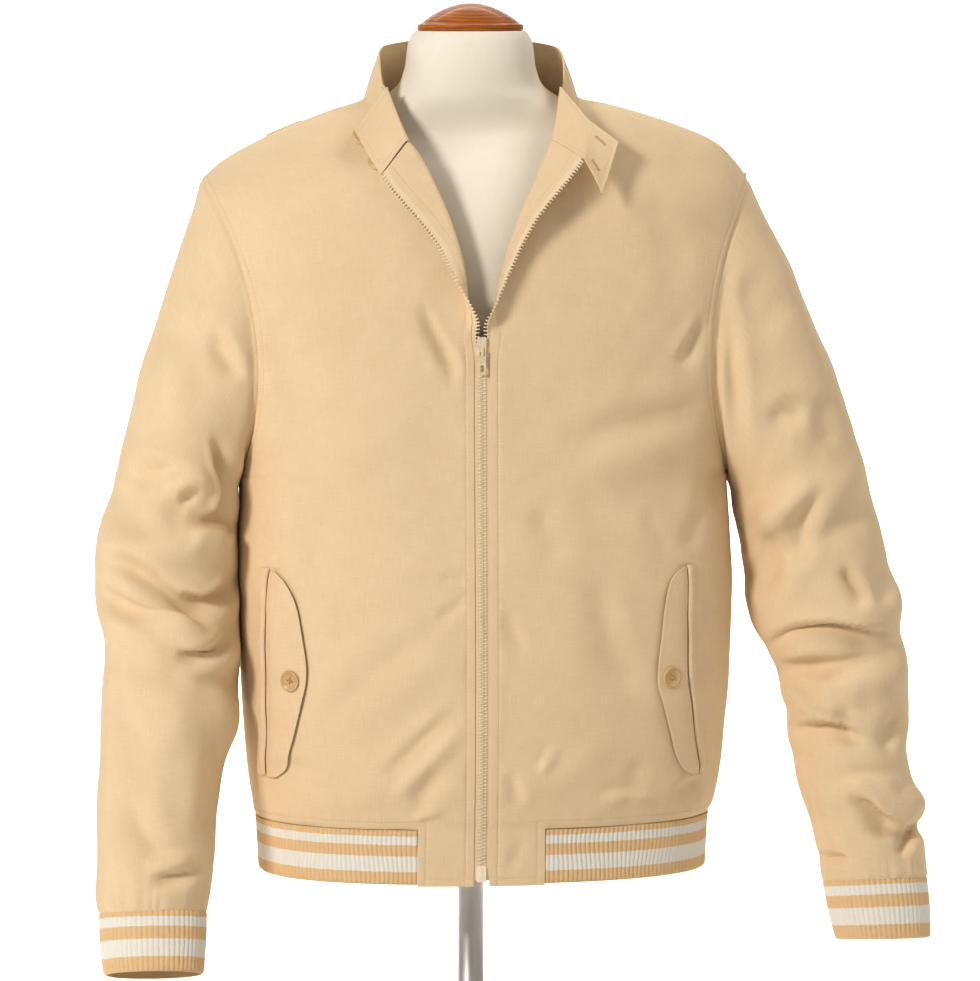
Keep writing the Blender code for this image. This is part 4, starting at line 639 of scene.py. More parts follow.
def stitch(group, path, out, pitch=STITCH_PITCH, long=STITCH_LONG, lift=0.12, wide=STITCH_WIDE):
    """A run of separate stitches along a path; runs of one group become one object."""
    path, out = np.asarray(path, float), np.asarray(out, float)
    lengths = run_lengths(path)
    count = int(lengths[-1] / pitch)
    if count < 1:
        return
    middles = (np.arange(count) + 0.5) * lengths[-1] / count
    places = {}
    for name, shift in (("low", -0.5), ("mid", 0.0), ("high", 0.5)):
        at = middles + shift * long
        places[name] = at_lengths(at, lengths, path)
    up = unit(at_lengths(middles, lengths, out))
    along = unit(places["high"] - places["low"])
    side = unit(np.cross(along, up))
    rings = []
    for name, height, half in (("low", -0.14, 0.5), ("mid", lift, 1.0), ("high", -0.14, 0.5)):
        centre = places[name] + up * height
        w, h = side * wide / 2 * half, up * wide * 0.4 * half
        rings += [centre + w, centre + h, centre - w, centre - h]
    points = np.stack(rings, axis=1).reshape(-1, 3)
    cell = [(3, 2, 1, 0), (8, 9, 10, 11)]
    for r in (0, 4):
        cell += [(r + k, r + (k + 1) % 4, r + 4 + (k + 1) % 4, r + 4 + k) for k in range(4)]
    faces = (np.array(cell)[None] + 12 * np.arange(count)[:, None, None]).reshape(-1, 4)
    STITCHES.setdefault(group, []).append((points, faces))


def stitch_at(group, surface, normals, distance, wanted):
    """A run of stitches at a wanted distance along each row of a surface."""
    stitch(group, at_distance(surface, distance, wanted), at_distance(normals, distance, wanted))


def sew_all(look, shade):
    """Make every group of stitches; the group that stands for a buttonhole's slot gets the dark look, painted
    shade inside the cut.
    """
    for group, runs in STITCHES.items():
        start, points, faces = 0, [], []
        for some, some_faces in runs:
            points.append(some)
            faces.append(some_faces + start)
            start += len(some)
        new_object(group, np.vstack(points), np.vstack(faces), shade if group == SLOT_SHADE_GROUP else look,
                   "twill", sharp=80)


# ---------------------------------------------------------------- surfaces of the body
def ridge_z(side, x):
    return read(RIDGE, "x", side, np.abs(x))


def body_half(side, z):
    return read(BODY, "z", side, z)


def body_y(x, z, side, face):
    """Depth of the body's outer surface at a place seen from the front."""
    part = np.minimum(np.abs(x) / body_half(side, z), 1.0)
    flat = read(BODY, "z", face, z) * (1 - part ** BODY_POWER) ** (1 / BODY_POWER)
    drop = np.clip((ridge_z(side, x) - z) / RIDGE_ROUND, 0, 1)
    lift = np.sqrt(1 - (1 - drop) ** 2)
    return RIDGE_Y + (WAY[face] * flat - RIDGE_Y) * lift


def armhole_curve(side, angle, face):
    """Smooth run of the armhole: 0 is the shoulder, 180 the underarm."""
    hole = ARMHOLE[side]
    c, s = np.cos(np.radians(angle)), np.sin(np.radians(angle))
    x = mix(hole.low_x, hole.top_x, (1 + c) / 2) - hole.bow * s * s
    z = mix(hole.low_z, hole.top_z, (1 + c) / 2)
    return point(SIGN[side] * x, RIDGE_Y * (1 + c) / 2 + WAY[face] * ARMHOLE_DEPTH * s, z)


def armhole_across(side, angle, face):
    """Direction across the armhole seam, from the sleeve to the body."""
    low, high = np.maximum(angle - 2, 0), np.minimum(angle + 2, 180)
    run = armhole_curve(side, high, face) - armhole_curve(side, low, face)
    c, s = np.cos(np.radians(angle)), np.sin(np.radians(angle))
    away = 0.15 + 0.8 * np.maximum(c, 0) ** 2
    across = unit(np.cross(run, point(SIGN[side] * away, WAY[face] * s, c)))
    return across * np.where(across[..., :1] * SIGN[side] > 0, -1, 1)


PanelRow = namedtuple("PanelRow", "row x z around turn reach slant")


def panel_table(side, face):
    """All the rows of a front or of half the back, numbered from the hem up."""
    low, rest = LOW_ROWS, ROLL[side] + FRONT_NECK
    near = STITCH_X + SIGN[side] * ZIP_X
    if face == "back":
        low, rest = BACK_LOW_ROWS, BACK_ROWS + BACK_NECK
        near = 0.0
    rows = [PanelRow(i, near, z, 180, 0, STITCH_X - EDGE_X, 0) for i, z in enumerate(low)]
    for row in rest:
        roll = (row.turn, row.reach, row.slant) if isinstance(row, Row) else rows[-1][4:]
        rows.append(PanelRow(len(rows), row.x, row.z, row.around, *roll))
    return rows


def low_last(face):
    """Number of the last row that ends at the side seam; those above end at the armhole."""
    return len(LOW_ROWS if face == "front" else BACK_LOW_ROWS) - 1


def panel_ends(side, face, r):
    """Inner end (x, z) and outer end of rows, and how much they follow the shoulder's slope."""
    table = panel_table(side, face)
    near = np.maximum(read(table, "row", "x", r), 0.0)
    z = read(table, "row", "z", r)
    around = np.clip(read(table, "row", "around", r), 0, 180)
    seam = armhole_curve(side, around, face) + armhole_across(side, around, face) * SEAM / 2
    sides = point(SIGN[side] * body_half(side, z), WAY[face] * SEAM / 2, z)
    outer = np.where((r <= low_last(face))[:, None], sides, seam)
    span = 7 if face == "front" else 8
    top = np.maximum(0, (r - (len(table) - 1)) / span + 1) ** 1.5
    z = np.where(around <= 0, ridge_z(side, near), z)
    return near, z, outer, top


def panel(side, face, r, share):
    """Points of rows r of a panel, at shares of the way from its inner end to its seam."""
    near, z_in, outer, top = panel_ends(side, face, r)
    near, z_in, top = near[:, None], z_in[:, None], top[:, None]
    far, z_out = np.abs(outer[:, :1]), outer[:, 2:]
    x = mix(near, far, share)
    ridge = ridge_z(side, x)
    chord = mix(ridge_z(side, near), ridge_z(side, far), share)
    # The last row runs along the shoulder, where it has to end level with the ridge.
    last = np.clip(1 - (len(panel_table(side, face)) - 1 - r[:, None]) / 0.6, 0, 1)
    short = np.clip(ridge_z(side, far) - z_out, 0, 4) * last
    z = mix(z_in, z_out, share) + top * (ridge - chord) + short * (share - share ** 12)
    z = np.minimum(z, ridge)
    # Near its outer end the row leaves the body's surface for the seam.
    miss = outer[:, 1:2] - body_y(far, z_out, side, face)
    calm = np.minimum((1 - share) * 5, 1.0)
    if face == "front":
        calm = np.minimum(calm, share * 6 + 0.25)
    push = fold_push(BODY_FOLDS[face], SIGN[side] * x, z) * calm
    hold = 4 + 36 * np.clip(1 - (r[:, None] - low_last(face)) / 2.5, 0, 1) + 2 * last
    y = body_y(x, z, side, face) + miss * share ** hold
    y = y + WAY[face] * (push + SEAM / 2 - RIDGE_OVERLAP * last)
    return point(SIGN[side] * x, y, z)


def places_along(total, near, far, spacing):
    """Distances along a run: given ones at both ends and even ones between them."""
    middle = np.linspace(near[-1], total - far[0], max(int((total - near[-1] - far[0]) / spacing), 2) + 1)
    return np.concatenate([near[:-1], middle, total - np.array(far[1:])])


def row_places(side, face, spacing, fine_z, far):
    """Row numbers that step evenly up a panel, finer at some heights and at the shoulder."""
    table = panel_table(side, face)
    fine = np.linspace(0, len(table) - 1, 6000)
    middle = panel(side, face, fine, np.full((6000, 1), 0.55))[:, 0]
    lengths = run_lengths(middle)
    inner_z = read(table, "row", "z", fine)
    marks = np.interp(fine_z, inner_z, lengths)
    even = places_along(lengths[-1], (0, 0.8, 2.0), far, spacing)
    even = even[np.min(np.abs(even[:, None] - marks[None]), axis=1) > 0.7]
    wanted = np.sort(np.concatenate([even, marks]))
    return np.interp(wanted, lengths, fine)


def panel_shares(side, face, r, near, far, count):
    """Shares of each row that step evenly across a panel, with given ones at both ends."""
    t = np.sin(np.linspace(0, math.pi / 2, 500))
    lengths = run_lengths(panel(side, face, r, np.broadcast_to(t, (len(r), 500))))
    wanted = []
    for total in lengths[:, -1]:
        middle = np.linspace(near[-1], total - far[0], count)
        wanted.append(np.concatenate([near[:-1], middle, total - np.array(far[1:])]))
    wanted = np.array(wanted)
    shares = np.array([np.interp(w, run, t) for w, run in zip(wanted, lengths)])
    return shares, wanted, lengths[:, -1:]


SHOULDER_FAR = (9, 7.6, 6.4, 5, 3.6, 2.4, 1.5, 0.8, 0)
SEAM_FAR = (12.0, 9.6, 8.2, 7.0, 5.8, 4.2, 3.0, 2.2, 1.5, 0.8, 0.0)
CASING_FINE = (182.4, 184.0, 185.4, CASING_Z, 187.4, 188.6, 190, 191.4, 192.6, 193.3, CASING_STITCH_Z,
               194.8, 195.6, 197)


def armhole_lines(to_seam):
    """Where the two lines of stitches beside the armhole draw the cloth in."""
    near, far = ARMHOLE_STITCHES
    return bell(to_seam - near, 0.7) + bell(to_seam - far, 0.8)


def armhole_rows(r, face):
    """The rows that those lines run over, clear of the underarm and the shoulder."""
    return slice(int(np.argmax(r > low_last(face) + 0.4)), len(r) - 7)


def seam_shape(away):
    """The cloth sinks into a seam and stands a little proud beside it."""
    return -0.9 * bell(away, 1.5) + 0.25 * bell(away - 4.5, 2.5)


def roll_frame(side, x, z, slant):
    """The two directions of the lapel's roll: along the cloth to the zip, and outwards."""
    step = 4.0
    y = body_y(x, z, side, "front")
    run = point(SIGN[side] * step, body_y(x + step, z, side, "front") - y, 0)
    rise = point(0, body_y(x, z + step, side, "front") - y, step)
    outwards = unit(np.cross(run, rise))
    outwards *= np.where(outwards[..., 1:2] > 0, -1, 1)
    lean = np.radians(slant)[..., None]
    lay = unit(run) * np.cos(lean) - unit(rise) * np.sin(lean)
    lay = unit(lay - outwards * np.sum(lay * outwards, axis=-1, keepdims=True))
    return -lay, outwards


def hook(root, inwards, outwards, turn, distance):
    """Points of a rolled edge at distances from its root: an arc, then straight."""
    angle = np.radians(turn)
    bent = np.minimum(distance / ROLL_RADIUS, angle)
    rest = np.maximum(distance - ROLL_RADIUS * angle, 0)
    along = ROLL_RADIUS * np.sin(bent) + rest * np.cos(angle)
    out = ROLL_RADIUS * (1 - np.cos(bent)) + rest * np.sin(angle)
    return root + inwards * along[..., None] + outwards * out[..., None]


# ---------------------------------------------------------------- fronts
PLACKET = PLACKET_X - STITCH_X
FRONT_NEAR = (0, 1.0, 2.4, 4.4, 7.0, 10, 13, 16, 19, 22, 25, 28, 31, 34, 35.6, 36.3, 37.0, 38.4, 40.4,
              42.2, PLACKET)
STRIP_NEAR = (0, 0.7, 1.6, 2.8, 4.4, 5.8, 6.5, 7.2, 7.9, 9.0)
STRIP_MORE = 14


def strip_places(total):
    """Distances from the cloth's edge across the rolled strip, for each row."""
    near = np.array(STRIP_NEAR)[None] * np.minimum(1.0, total / 9.6)
    rest = near[:, -1:] + (total - near[:, -1:]) * np.arange(1, STRIP_MORE + 1)[None] / STRIP_MORE
    return np.concatenate([near, rest[:, :-1]], axis=1)


def front_surface(side):
    """Grid of a front from the zip's edge to its seam, and what its points are to each other."""
    fine = tuple(HEM_Z + HEM_STITCH + more for more in (-0.8, 0, 0.8)) + CASING_FINE
    r = row_places(side, "front", GRID, fine, SHOULDER_FAR)
    shares, across, total = panel_shares(side, "front", r, FRONT_NEAR, SEAM_FAR, 50)
    main = panel(side, "front", r, shares)
    x, z = main[..., 0], main[..., 2]
    table = panel_table(side, "front")
    to_seam = total - across
    low = r[:, None] <= low_last("front")
    push = front_swell(x, z)
    from_ridge = ridge_z(side, x) - z
    push *= smooth_step(to_seam / 26) * smooth_step((across + 3) / 9) * smooth_step(from_ridge / 26)
    above = z - CASING_Z
    outside = smooth_step((across - PLACKET + 4) / 8)
    gathers = puckers(x, above - 7, 15, 13, 11) * np.where(above > 0, 1.0, 0.0) * outside
    push += 0.75 * gathers * smooth_step(above / 3)
    push += np.where(low, 0.6, 1.0) * seam_shape(to_seam)
    push -= 0.35 * puckers(z, to_seam - 3, 11, 5, 12) * ~low
    push -= 0.8 * bell(above, 1.4) * outside
    near, z_in = panel_ends(side, "front", r)[:2]
    turn = np.clip(read(table, "row", "turn", r), 0, None)
    reach, slant = read(table, "row", "reach", r), read(table, "row", "slant", r)
    strip_total = (ROLL_RADIUS * np.radians(turn) + reach)[:, None]
    inwards, outwards = roll_frame(side, near, z_in, slant)
    edge = strip_places(strip_total)
    strip = hook(main[:, :1], inwards[:, None], outwards[:, None], turn[:, None], strip_total - edge)
    grid = np.concatenate([strip, main], axis=1)
    distance = np.concatenate([edge, strip_total + across], axis=1)
    push = np.concatenate([np.repeat(push[:, :1], edge.shape[1], axis=1), push], axis=1)
    return r, grid, distance, strip_total, push


def make_front(side, look):
    r, grid, distance, strip_total, push = front_surface(side)
    z = grid[..., 2]
    strip_columns = len(STRIP_NEAR) + STRIP_MORE - 1
    placket_column = strip_columns + len(FRONT_NEAR) - 1
    main_distance = distance - strip_total
    collar_from = len(LOW_ROWS) + len(ROLL[side]) - 1
    edge_stitch = bell(distance - EDGE_X, 0.8) * (r[:, None] < collar_from)
    below = smooth_step((CASING_Z + 9 - z) / 2)
    side_stitch = bell(main_distance - PLACKET + PLACKET_STITCH, 0.8) * below
    hem_stitch = bell(z - HEM_Z - HEM_STITCH, 0.8) * (main_distance < PLACKET - 5)
    casing_stitch = bell(z - CASING_STITCH_Z, 0.8) * (main_distance > PLACKET - PLACKET_STITCH)
    hole_stitch = armhole_lines(distance[:, -1:] - distance) * (r[:, None] > low_last("front"))
    groove = GROOVE * np.clip(edge_stitch + side_stitch + hem_stitch + casing_stitch + hole_stitch, 0, 1)
    rows, columns = grid.shape[:2]
    keep = np.ones((rows - 1, columns - 1), bool)
    casing_row = int(np.argmin(np.abs(grid[:, placket_column, 2] - CASING_Z)))
    keep[:casing_row, placket_column:] = False
    collar_row = int(np.argmin(np.abs(r - collar_from)))
    keep[collar_row:, :strip_columns] = False
    cut = flat_places(SIGN[side] * distance, run_lengths(grid[:, placket_column])[:, None])
    shell = cloth_shell(f"cloth_front_{side}", grid, cut, look, push=push, groove=groove, keep=keep,
                        flip=side == "right", replaces=[f"front_{side}"])
    sew_front(side, shell, r, distance, main_distance, collar_row, placket_column)
    return shell, collar_row + 1


def sew_front(side, shell, r, distance, main_distance, collar_row, placket_column):
    """Lines of stitches on a front: along the zip, round the placket, the casing, the armhole."""
    group = f"stitches_front_{side}"
    first_turned = next(i for i, row in enumerate(ROLL[side]) if row.turn) + len(LOW_ROWS)
    rows = slice(6, collar_row)
    stitch_at(group, shell.outer[rows], shell.normals[rows], distance[rows], EDGE_X)
    rows = slice(int(np.argmin(np.abs(r - first_turned))), collar_row)
    stitch_at(group, shell.inner[rows], -shell.normals[rows], distance[rows], EDGE_X)
    side_line = PLACKET - PLACKET_STITCH
    placket_z = shell.outer[:, placket_column, 2]
    low = int(np.argmin(np.abs(placket_z - HEM_Z - HEM_STITCH)))
    high = int(np.argmin(np.abs(placket_z - CASING_STITCH_Z)))
    rows = slice(low, high + 1)
    stitch_at(group, shell.outer[rows], shell.normals[rows], main_distance[rows], side_line)
    line = (main_distance[low] > -0.1) & (main_distance[low] < side_line)
    stitch(group, shell.outer[low][line], shell.normals[low][line])
    line = main_distance[high] > side_line
    stitch(group, shell.outer[high][line], shell.normals[high][line])
    rows = armhole_rows(r, "front")
    for inset in ARMHOLE_STITCHES:
        stitch_at(group, shell.outer[rows], shell.normals[rows], distance[rows], distance[rows, -1] - inset)


# ---------------------------------------------------------------- back
def make_back(look):
    split = len(BACK_LOW_ROWS) + len(BACK_ROWS) - 1
    r = row_places("right", "back", GRID, CASING_FINE[3:], SHOULDER_FAR)
    r = np.sort(np.concatenate([r[np.abs(r - split) > 0.03], [split]]))
    halves, pushes, reach = {}, {}, {}
    for side in ("right", "left"):
        shares, across, total = panel_shares(side, "back", r, (0, 3.0), SEAM_FAR, 56)
        points = panel(side, "back", r, shares)
        x, z = points[..., 0], points[..., 2]
        to_seam = total - across
        low = r[:, None] <= low_last("back")
        push = crease_push(BODY_CREASES["back"], x, z)
        push += 0.8 * ripple(x, z, 120, 5) + 0.25 * ripple(x, z, 36, 6)
        push *= smooth_step(to_seam / 26) * smooth_step((ridge_z(side, x) - z) / 26)
        above = z - CASING_Z
        push += 0.8 * puckers(x, above - 7, 15, 13, 13) * smooth_step(above / 3)
        push += np.where(low, 0.6, 1.0) * seam_shape(to_seam)
        push -= 0.8 * bell(above, 1.4)
        halves[side], pushes[side], reach[side] = points, push, across
    grid = np.concatenate([halves["right"][:, ::-1], halves["left"]], axis=1)
    push = np.concatenate([pushes["right"][:, ::-1], pushes["left"]], axis=1)
    rows, columns = grid.shape[:2]
    middle = columns // 2
    index = np.arange(rows * columns).reshape(rows, columns)
    joined = r <= split + 1e-6
    index[joined, middle] = index[joined, middle - 1]
    keep = np.ones((rows - 1, columns - 1), bool)
    keep[:, middle - 1] = False
    across = np.concatenate([-reach["right"][:, ::-1], reach["left"]], axis=1)
    up = run_lengths(grid[:, middle // 2])[:, None]
    to_seam = np.minimum(across - across[:, :1], across[:, -1:] - across)
    hole_stitch = armhole_lines(to_seam) * (r[:, None] > low_last("back"))
    groove = GROOVE * np.clip(bell(grid[..., 2] - CASING_STITCH_Z, 0.8) + hole_stitch, 0, 1)
    cut = flat_places(-across, up)
    shell = cloth_shell("cloth_back", grid, cut, look, push=push, groove=groove, keep=keep, index=index,
                        flip=True, replaces=["back"])
    casing = int(np.argmin(np.abs(grid[:, 0, 2] - CASING_STITCH_Z)))
    stitch("stitches_back", shell.outer[casing], shell.normals[casing])
    rows = armhole_rows(r, "back")
    for inset in ARMHOLE_STITCHES:
        for wanted in (across[rows, 0] + inset, across[rows, -1] - inset):
            stitch_at("stitches_back", shell.outer[rows], shell.normals[rows], across[rows], wanted)


# ---------------------------------------------------------------- sleeves
def ring_centre(side, row):
    values = {name: read(SLEEVE[side], "row", name, row) for name in Ring._fields[1:]}
    x = (values["out_x"] + values["in_x"]) / 2
    z = (values["out_z"] + values["in_z"]) / 2
    return point(SIGN[side] * x, values["mid_y"], z), values


def sleeve_point(side, row, angle):
    """Points of a sleeve: ring 0 is the armhole, angle 0 the outside of the arm, 90 its front."""
    row, angle = np.broadcast_arrays(np.asarray(row, float), np.asarray(angle, float))
    last = len(SLEEVE[side]) - 1
    centre, value = ring_centre(side, row)
    before = ring_centre(side, np.maximum(row - 0.5, 0))[0]
    after = ring_centre(side, np.minimum(row + 0.5, last))[0]
    lean = np.arctan2(before[..., 1] - after[..., 1], before[..., 2] - after[..., 2]) * np.minimum(row / 4, 1)
    c, s = np.cos(np.radians(angle)), np.sin(np.radians(angle))
    reach = point(SIGN[side] * (value["out_x"] - value["in_x"]) / 2, 0 * row,
                  (value["out_z"] - value["in_z"]) / 2)
    deep = point(0 * row, -np.cos(lean), np.sin(lean)) * value["depth"][..., None]
    made = centre + reach * c[..., None] + deep * s[..., None]
    made[..., 0] -= SIGN[side] * value["bow"] * s * s
    made[..., 1] += RIDGE_Y * (1 + c) / 2 * np.maximum(1 - row / 4, 0)
    calm = np.minimum(np.minimum(row / 2.5, (last - row) / 1.5), 1.0)
    push = fold_push(SLEEVE_FOLDS[side], angle, made[..., 2], 1.1, 360) * calm
    away = unit(unit(reach) * c[..., None] + unit(deep) * s[..., None])
    return made + away * push[..., None]


def clear_of_body(side, low_row_z):
    """A correction that keeps a sleeve beside the body it hangs against."""
    def settle(points):
        z = points[:, 2]
        side_x = body_half(side, z) + SLEEVE_CLEAR[side]
        x = points[:, 0] * SIGN[side]
        over = x - side_x
        soft = side_x + np.where(over > 2, over, 2 * np.exp(np.minimum(over - 2, 0) / 2))
        moved = np.where(z < low_row_z, np.maximum(soft, x), x)
        return np.column_stack([moved * SIGN[side], points[:, 1], z])
    return settle


def make_sleeve(side, look):
    last = len(SLEEVE[side]) - 1
    fine = np.linspace(0, last, 3000)
    lengths = run_lengths(0.5 * (sleeve_point(side, fine, 0) + sleeve_point(side, fine, 180)))
    near = (0, 0.8, 1.6, 2.6, 4.0, 6.0)
    wanted = places_along(lengths[-1], near, (9, 6.5, 4.5, 3, 2, 1, 0), GRID)
    row = np.interp(wanted, lengths, fine)[:, None]
    columns = 132
    angle = np.arange(columns)[None] * 360 / columns
    grid = sleeve_point(side, row, angle)
    bent = np.where(angle <= 180, angle, 360 - angle)
    across = np.where((angle <= 180)[..., None], armhole_across(side, bent, "front"),
                      armhole_across(side, bent, "back"))
    tucked = 1 - wanted[:, None] / 2.2
    grid = grid + across * (TUCK * smooth_step(tucked))[..., None]
    x, z = grid[..., 0], grid[..., 2]
    facing = np.sin(np.radians(angle))
    front, back = smooth_step(facing / 0.7 + 0.55), smooth_step(-facing / 0.7 + 0.55)
    from_armhole, from_cuff = wanted[:, None], lengths[-1] - wanted[:, None]
    push = (front * crease_push(SLEEVE_CREASES[(side, "front")], x, z, SLEEVE_DEPTH)
            + back * crease_push(SLEEVE_CREASES[(side, "back")], x, z, SLEEVE_DEPTH))
    turned = np.radians(angle)
    push += 0.9 * ripple(from_armhole, 70 * np.sin(turned + 0.6), 90, 21 if side == "right" else 25)
    push += 0.3 * ripple(from_armhole, 70 * np.cos(turned), 34, 22 if side == "right" else 26)
    push *= smooth_step(from_armhole / 24) * smooth_step(from_cuff / 16)
    push += 0.5 * seam_shape(from_armhole) - 0.7 * smooth_step(tucked) - 0.9 * bell(from_cuff, 2.0)
    dip = bell(from_armhole - 4, 5) * smooth_step(from_armhole / 3) * smooth_step((720 - z) / 90)
    push -= ARM_TUCK[side] * front * dip
    around = angle / 360 * 300
    push += 1.0 * puckers(around, from_cuff - 2, 11, 14, 31) * smooth_step(from_cuff / 3)
    push += 0.45 * puckers(around, from_armhole - 2, 19, 9, 33) * smooth_step(from_armhole / 3)
    underarm = np.abs(angle - 180) / 360 * 330
    push -= 0.9 * bell(underarm, 1.6) * smooth_step(from_armhole / 8)
    girth = np.arange(columns + 1)[None] * 440 / columns
    cut = flat_places(girth, wanted[:, None])
    shell = cloth_shell(f"cloth_sleeve_{side}", grid, cut, look, push=push, closed=True,
                        flip=side == "right", settle=clear_of_body(side, UNDERARM_Z - 14),
                        replaces=[f"sleeve_{side}"])


# ---------------------------------------------------------------- knit ribs
def rib_bump(phase):
    """Height of a rib's rounded top and the narrow valley beside it, from 0 to 1."""
    return np.abs(np.sin(np.pi * phase)) ** 0.75


def knit_shell(name, base, out, closed, look, replaces, lengths):
    """A ribbed band from a grid of base points and their outward directions."""
    columns = base.shape[1]
    share = np.arange(columns)[None] / RIB_STEPS
    height = lengths[:, None]
    bumps = rib_bump(share)
    low_edge = smooth_step((height[-1] - height) / 2.0)
    high_edge = smooth_step((height + 1.0) / 2.5)
    raised = RIB_RAISE * (bumps * np.minimum(0.45 + low_edge, 1.0) * high_edge)
    swell = 0.5 * ripple(share * 3.6, height, 70, 41)
    rounded = -1.2 * (1 - low_edge)
    grid = base + out * (raised + swell + rounded)[..., None]
    inner = base - out * (KNIT - swell)[..., None]
    wide = np.arange(columns + (1 if closed else 0)) * 3.7 / RIB_STEPS
    cut = flat_places(wide[None], (1 - height / lengths[-1]) * 1000)
    return cloth_shell(name, grid, cut, look, slot="knit", closed=closed, inner=inner, thick=KNIT,
                       replaces=replaces, sharp=85)


def hem_path(z, fine=2400):
    """The hem's way round the body from the right placket to the left one."""
    right, left = body_half("right", z), body_half("left", z)
    front, back = read(BODY, "z", "front", z), read(BODY, "z", "back", z)
    first = math.asin(((PLACKET_X - ZIP_X + SEAM) / right) ** (BODY_POWER / 2))
    final = 2 * math.pi - math.asin(((PLACKET_X + ZIP_X + SEAM) / left) ** (BODY_POWER / 2))
    t = np.linspace(first, final, fine)
    s, c = np.sin(t), np.cos(t)
    x = -np.where(s > 0, right, left) * np.sign(s) * np.abs(s) ** (2 / BODY_POWER)
    y = -np.where(c > 0, front, back) * np.sign(c) * np.abs(c) ** (2 / BODY_POWER)
    return point(x, y, z)


def make_hem(look):
    top, low = CASING_Z - SEAM, RIB_Z
    down = places_along(top - low, (0, 1.2, 3), (5, 3, 1.8, 0.9, 0.3, 0), 6.0)
    columns = HEM_RIBS * RIB_STEPS + 1
    rows, ways = [], []
    for fall in down:
        path = hem_path(top - fall)
        lengths = run_lengths(path)
        lean = 0.35 * math.sin(fall / 17) + 0.12 * math.sin(fall / 5.1)
        at = np.linspace(0, 1, columns)
        at = (at + lean * np.sin(at * math.pi) / HEM_RIBS
              + 0.3 / HEM_RIBS * np.sin(at * 41) * np.sin(fall / 9))
        here = at_lengths(np.clip(at, 0, 1) * lengths[-1], lengths, path)
        run = unit(np.gradient(here, axis=0))
        way = unit(np.cross(np.array([0, 0, 1.0]), run))
        rows.append(here - way * RIB_RAISE)
        ways.append(way)
    shell = knit_shell("knit_hem", np.array(rows), np.array(ways), False, look, ["hem_rib"], down)


def make_cuff(side, look):
    last = len(SLEEVE[side]) - 1
    end = CUFF[side]
    low_centre = point(SIGN[side] * (end.out_x + end.in_x) / 2, end.mid_y, (end.out_z + end.in_z) / 2)
    low_reach = point(SIGN[side] * (end.out_x - end.in_x) / 2, 0, (end.out_z - end.in_z) / 2)
    high_centre = ring_centre(side, np.array(float(last)))[0]
    axis = unit(low_centre - high_centre)
    lean = math.atan2(high_centre[1] - low_centre[1], high_centre[2] - low_centre[2])
    low_deep = np.array([0, -math.cos(lean), math.sin(lean)]) * end.depth
    columns = CUFF_RIBS * RIB_STEPS
    angle = np.arange(columns) * 360 / columns
    c, s = np.cos(np.radians(angle))[:, None], np.sin(np.radians(angle))[:, None]
    high = sleeve_point(side, last, angle) + axis * SEAM
    low = low_centre + low_reach * c + low_deep * s
    total = float(np.linalg.norm(low_centre - high_centre))
    down = places_along(total, (0, 1.2, 3), (5, 3, 1.8, 0.9, 0.3, 0), 5.0)
    tuck = 2.2
    level = ((down * (total + tuck) / total - tuck) / total)[:, None, None]
    base = mix(high[None], low[None], level)
    centre = mix(high_centre, low_centre, level)
    away = base - centre
    out = unit(away - axis * np.sum(away * axis, axis=-1, keepdims=True))
    bulge = 1.2 * np.sin(np.pi * np.clip(level, 0, 1)) - RIB_RAISE
    bulge -= 0.9 * smooth_step(-level * total / tuck)
    shell = knit_shell(f"knit_cuff_{side}", base + out * bulge, out, True, look, [f"cuff_{side}"], down)


# ---------------------------------------------------------------- collar
COLLAR_LEVELS = np.array([0, 0.02, 0.06, 0.12, 0.16, 0.2, 0.28, 0.36, 0.44, 0.52, 0.6, 0.68, 0.76, 0.84,
                          0.88, 0.92, 0.96, 0.985, 1.0])


